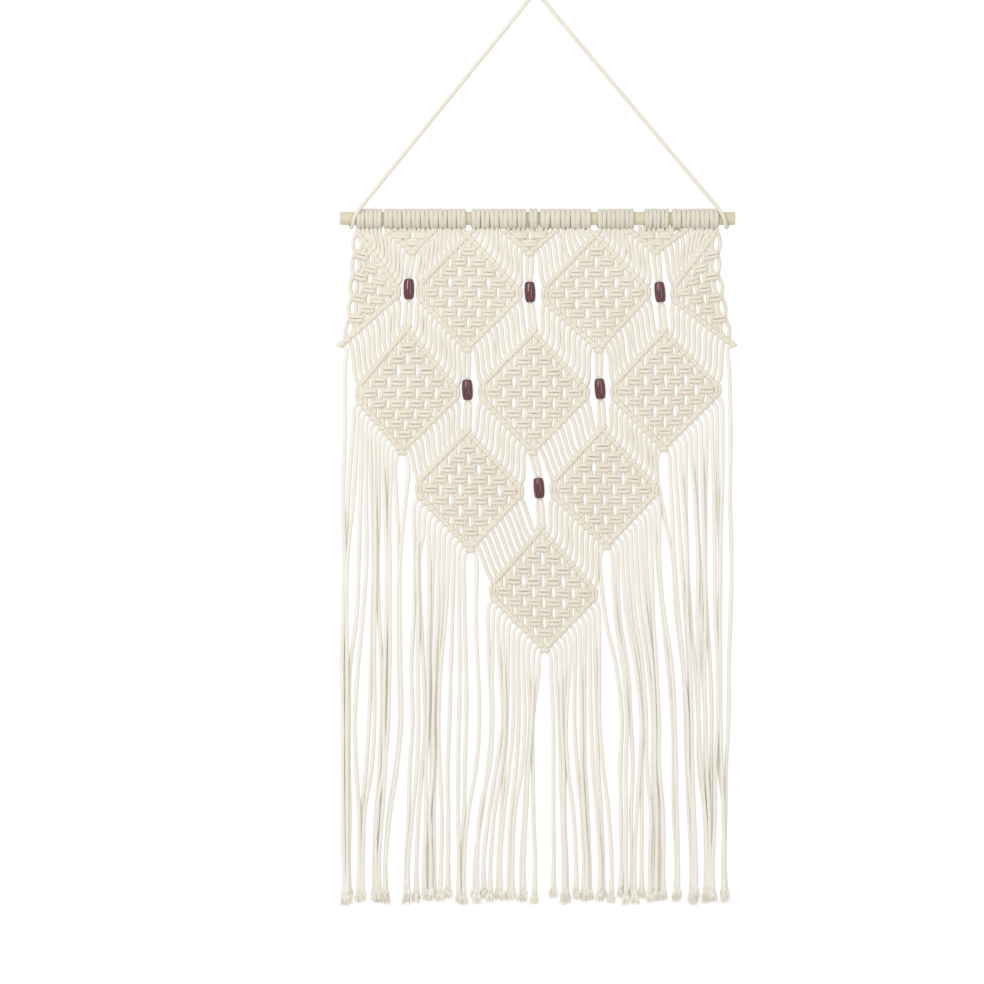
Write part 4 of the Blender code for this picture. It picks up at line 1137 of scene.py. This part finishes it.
def makeFringe(material, fibreMaterial):
    # The outermost strand on each side belongs to the net, as it hangs free from the first row.
    groups = [(node + "Strands", node, range(first, last + 1), fringe["seed"] + first)
              for node, (first, last) in fringe["nodes"].items()]
    groups.append(("outerStrands", "macrame_net", (0, strandCount - 1), fringe["outerSeed"]))
    brushes = Yarn("frayedEnds")
    fray = np.random.default_rng(frayedEnd["seed"])
    for name, node, strands, seed in groups:
        yarn = Yarn(name)
        chance = np.random.default_rng(seed)
        for strand in strands:
            frayEnd(brushes, hangFringeStrand(yarn, strand, fringeRoots[strand], chance), fray)
        yarn.make(material, [node])
    brushes.make(fibreMaterial, [*fringe["nodes"], "macrame_net"], smooth=False)


makeFringe(fringeCotton, fibreCotton)


def streakedWood(name, look, scale):
    # The grain colours the wood and stands a little proud; on the beads its coloured streaks are also
    # painted reflection streaks. Scale is the size of its streaks along x, y and z, in millimetres.
    # Real grain is finer, and this one as coarse as it needs to show.
    material, tree, shader = newMaterial(name, look["finish"])
    spot = addNode(tree, "ShaderNodeTexCoord")
    scaled = addNode(tree, "ShaderNodeMapping", {"Scale": [1 / (size * mm) for size in scale]},
                     {0: spot.outputs["Object"]})
    grain = addNode(tree, "ShaderNodeTexNoise", {"Scale": 1.0, **look["grain"]},
                    {"Vector": scaled.outputs[0]})
    low, high = look["streakRange"]
    streaks = addNode(tree, "ShaderNodeMapRange", {"From Min": low, "From Max": high},
                      {"Value": grain.outputs[0]})
    tint = addNode(tree, "ShaderNodeMix",
                   {"data_type": "RGBA", 6: linearColour(look["dark"]), 7: linearColour(look["light"])},
                   {0: streaks.outputs[0]})
    tree.links.new(tint.outputs[2], shader.inputs["Base Color"])
    bump = addNode(tree, "ShaderNodeBump",
                   {"Strength": look["grainStrength"], "Distance": look["grainDepth"] * mm},
                   {"Height": grain.outputs[0]})
    tree.links.new(bump.outputs[0], shader.inputs["Normal"])
    return material


lacquerLook = {
    # The streaks between these two colours are partly grain and partly painted reflection streaks.
    "light": "7C3036",
    "dark": "140607",
    "finish": {"Roughness": 0.16, "Coat Weight": 0.8, "Coat Roughness": 0.06},
    "grain": {"Detail": 4.0, "Roughness": 0.6},
    "streakRange": (0.38, 0.64),
    "streakWidth": 1.5,
    "streakLength": 21.0,
    "grainDepth": 0.05,
    "grainStrength": 0.6,
}


def beadLacquer():
    # Turned beech with a red-brown stain under clear gloss lacquer. The eye gets a dark body with
    # redder streaks along the bead, partly grain and partly painted reflection, and sharp upright
    # highlights.
    width, length = lacquerLook["streakWidth"], lacquerLook["streakLength"]
    return streakedWood("redBrownLacqueredBeech", lacquerLook, (width, width, length))


def makeBeads(material):
    half = beads["length"] / 2
    upper = [(p["along"] * half, p["radius"] * beads["radius"]) for p in beads["outline"]]
    lower = [(-along, radius) for along, radius in reversed(upper[1:])]
    mouth = half * beads["boreMouth"]
    outline = [*lower, *upper, (mouth, beads["bore"]), (-mouth, beads["bore"])]
    n = beads["sides"]
    angles = np.linspace(0, math.tau, n, endpoint=False)
    rings = [[(r * math.cos(a), r * math.sin(a), h) for a in angles] for h, r in outline]
    points = (np.array(rings).reshape(-1, 3) * mm).tolist()
    faces = []
    for i in range(len(outline)):
        k = (i + 1) % len(outline)
        faces += [(i * n + j, i * n + (j + 1) % n, k * n + (j + 1) % n, k * n + j) for j in range(n)]
    for bead in beads["hangs"]:
        mesh = bpy.data.meshes.new(bead["node"] + "_turned")
        mesh.from_pydata(points, [], faces)
        mesh.update()
        mesh.shade_smooth()
        mesh.set_sharp_from_angle(angle=math.radians(beads["sharpDegrees"]))
        mesh.materials.append(material)
        piece = addObject(bead["node"] + "_turned", mesh)
        piece.location = toWorld(beadMiddle(bead))
        piece.rotation_euler = (0, -math.atan2(bead["lean"], beads["length"]), 0)
        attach(piece, "root")
        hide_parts(bead["node"])
    print("beads turned")


makeBeads(beadLacquer())

rodLook = {
    "light": "E5DFC8",
    "dark": "CEC29F",
    "finish": {"Roughness": 0.55},
    "grain": {"Detail": 6.0, "Roughness": 0.65, "Distortion": 0.6},
    "streakRange": (0.0, 1.0),
    "streakWidth": 2.4,
    "streakLength": 52.8,
    "grainDepth": 0.12,
    "grainStrength": 0.5,
}


def paleDowel():
    # A bare birch dowel, sanded. The eye gets a pale straw yellow, fine brown lines along the
    # rod and a dull satin.
    width, length = rodLook["streakWidth"], rodLook["streakLength"]
    return streakedWood("sandedBirchDowel", rodLook, (length, width, width))


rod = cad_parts["wooden_rod"]
rod.data.materials.clear()
rod.data.materials.append(paleDowel())
print("rod finished")

studio = {
    "floorBelow": 1375.0,
    "floorSize": 2600.0,
    "floorColour": "F2F1EE",
    "floorFinish": {"Roughness": 0.9},
    "backdropStrength": 1.0,
    "surroundStrength": 0.72,
    "backdropEdge": (0.90, 0.97),
    "aim": (0, 0, -230),
    "lights": (
        {"name": "keyLight", "place": (-1000, -1500, 600), "width": 450, "height": 1300, "strength": 13},
        {"name": "fillLight", "place": (900, -1500, 100), "width": 250, "height": 1200, "strength": 3},
    ),
}


def makeWorld():
    # A white backdrop behind the hanging, and a softer grey room round the rest.
    world = bpy.data.worlds.new("whiteStudio")
    world.use_nodes = True
    tree = world.node_tree
    direction = addNode(tree, "ShaderNodeTexCoord")
    parts = addNode(tree, "ShaderNodeSeparateXYZ", links={0: direction.outputs["Generated"]})
    low, high = studio["backdropEdge"]
    strength = addNode(tree, "ShaderNodeMapRange",
                       {"interpolation_type": "SMOOTHSTEP", "From Min": low, "From Max": high,
                        "To Min": studio["surroundStrength"], "To Max": studio["backdropStrength"]},
                       {"Value": parts.outputs["Y"]})
    background = tree.nodes["Background"]
    background.inputs["Color"].default_value = (1.0, 1.0, 1.0, 1.0)
    tree.links.new(strength.outputs[0], background.inputs["Strength"])
    return world


def makeStudio():
    scene = bpy.context.scene
    scene.view_settings.view_transform = "Standard"
    scene.world = makeWorld()

    half = studio["floorSize"] / 2 * mm
    corners = [(-half, -half, 0), (half, -half, 0), (half, half, 0), (-half, half, 0)]
    mesh = bpy.data.meshes.new("paleFloor")
    mesh.from_pydata(corners, [], [(0, 1, 2, 3)])
    material, tree, shader = newMaterial("paleMattPaint", studio["floorFinish"])
    shader.inputs["Base Color"].default_value = linearColour(studio["floorColour"])
    mesh.materials.append(material)
    floor = addObject("paleFloor", mesh)
    floor.location = toWorld((0, 0, -studio["floorBelow"]))

    for lamp in studio["lights"]:
        data = bpy.data.lights.new(lamp["name"], "AREA")
        data.energy = lamp["strength"]
        data.shape = "RECTANGLE"
        data.size = lamp["width"] * mm
        data.size_y = lamp["height"] * mm
        light = addObject(lamp["name"], data)
        light.location = toWorld(lamp["place"])
        aim = toWorld(studio["aim"]) - toWorld(lamp["place"])
        yaw = math.atan2(aim[0], aim[1])
        pitch = math.atan2(aim[2], math.hypot(aim[0], aim[1]))
        light.rotation_euler = (math.pi / 2 + pitch, 0, -yaw)
    print("studio lit")


makeStudio()
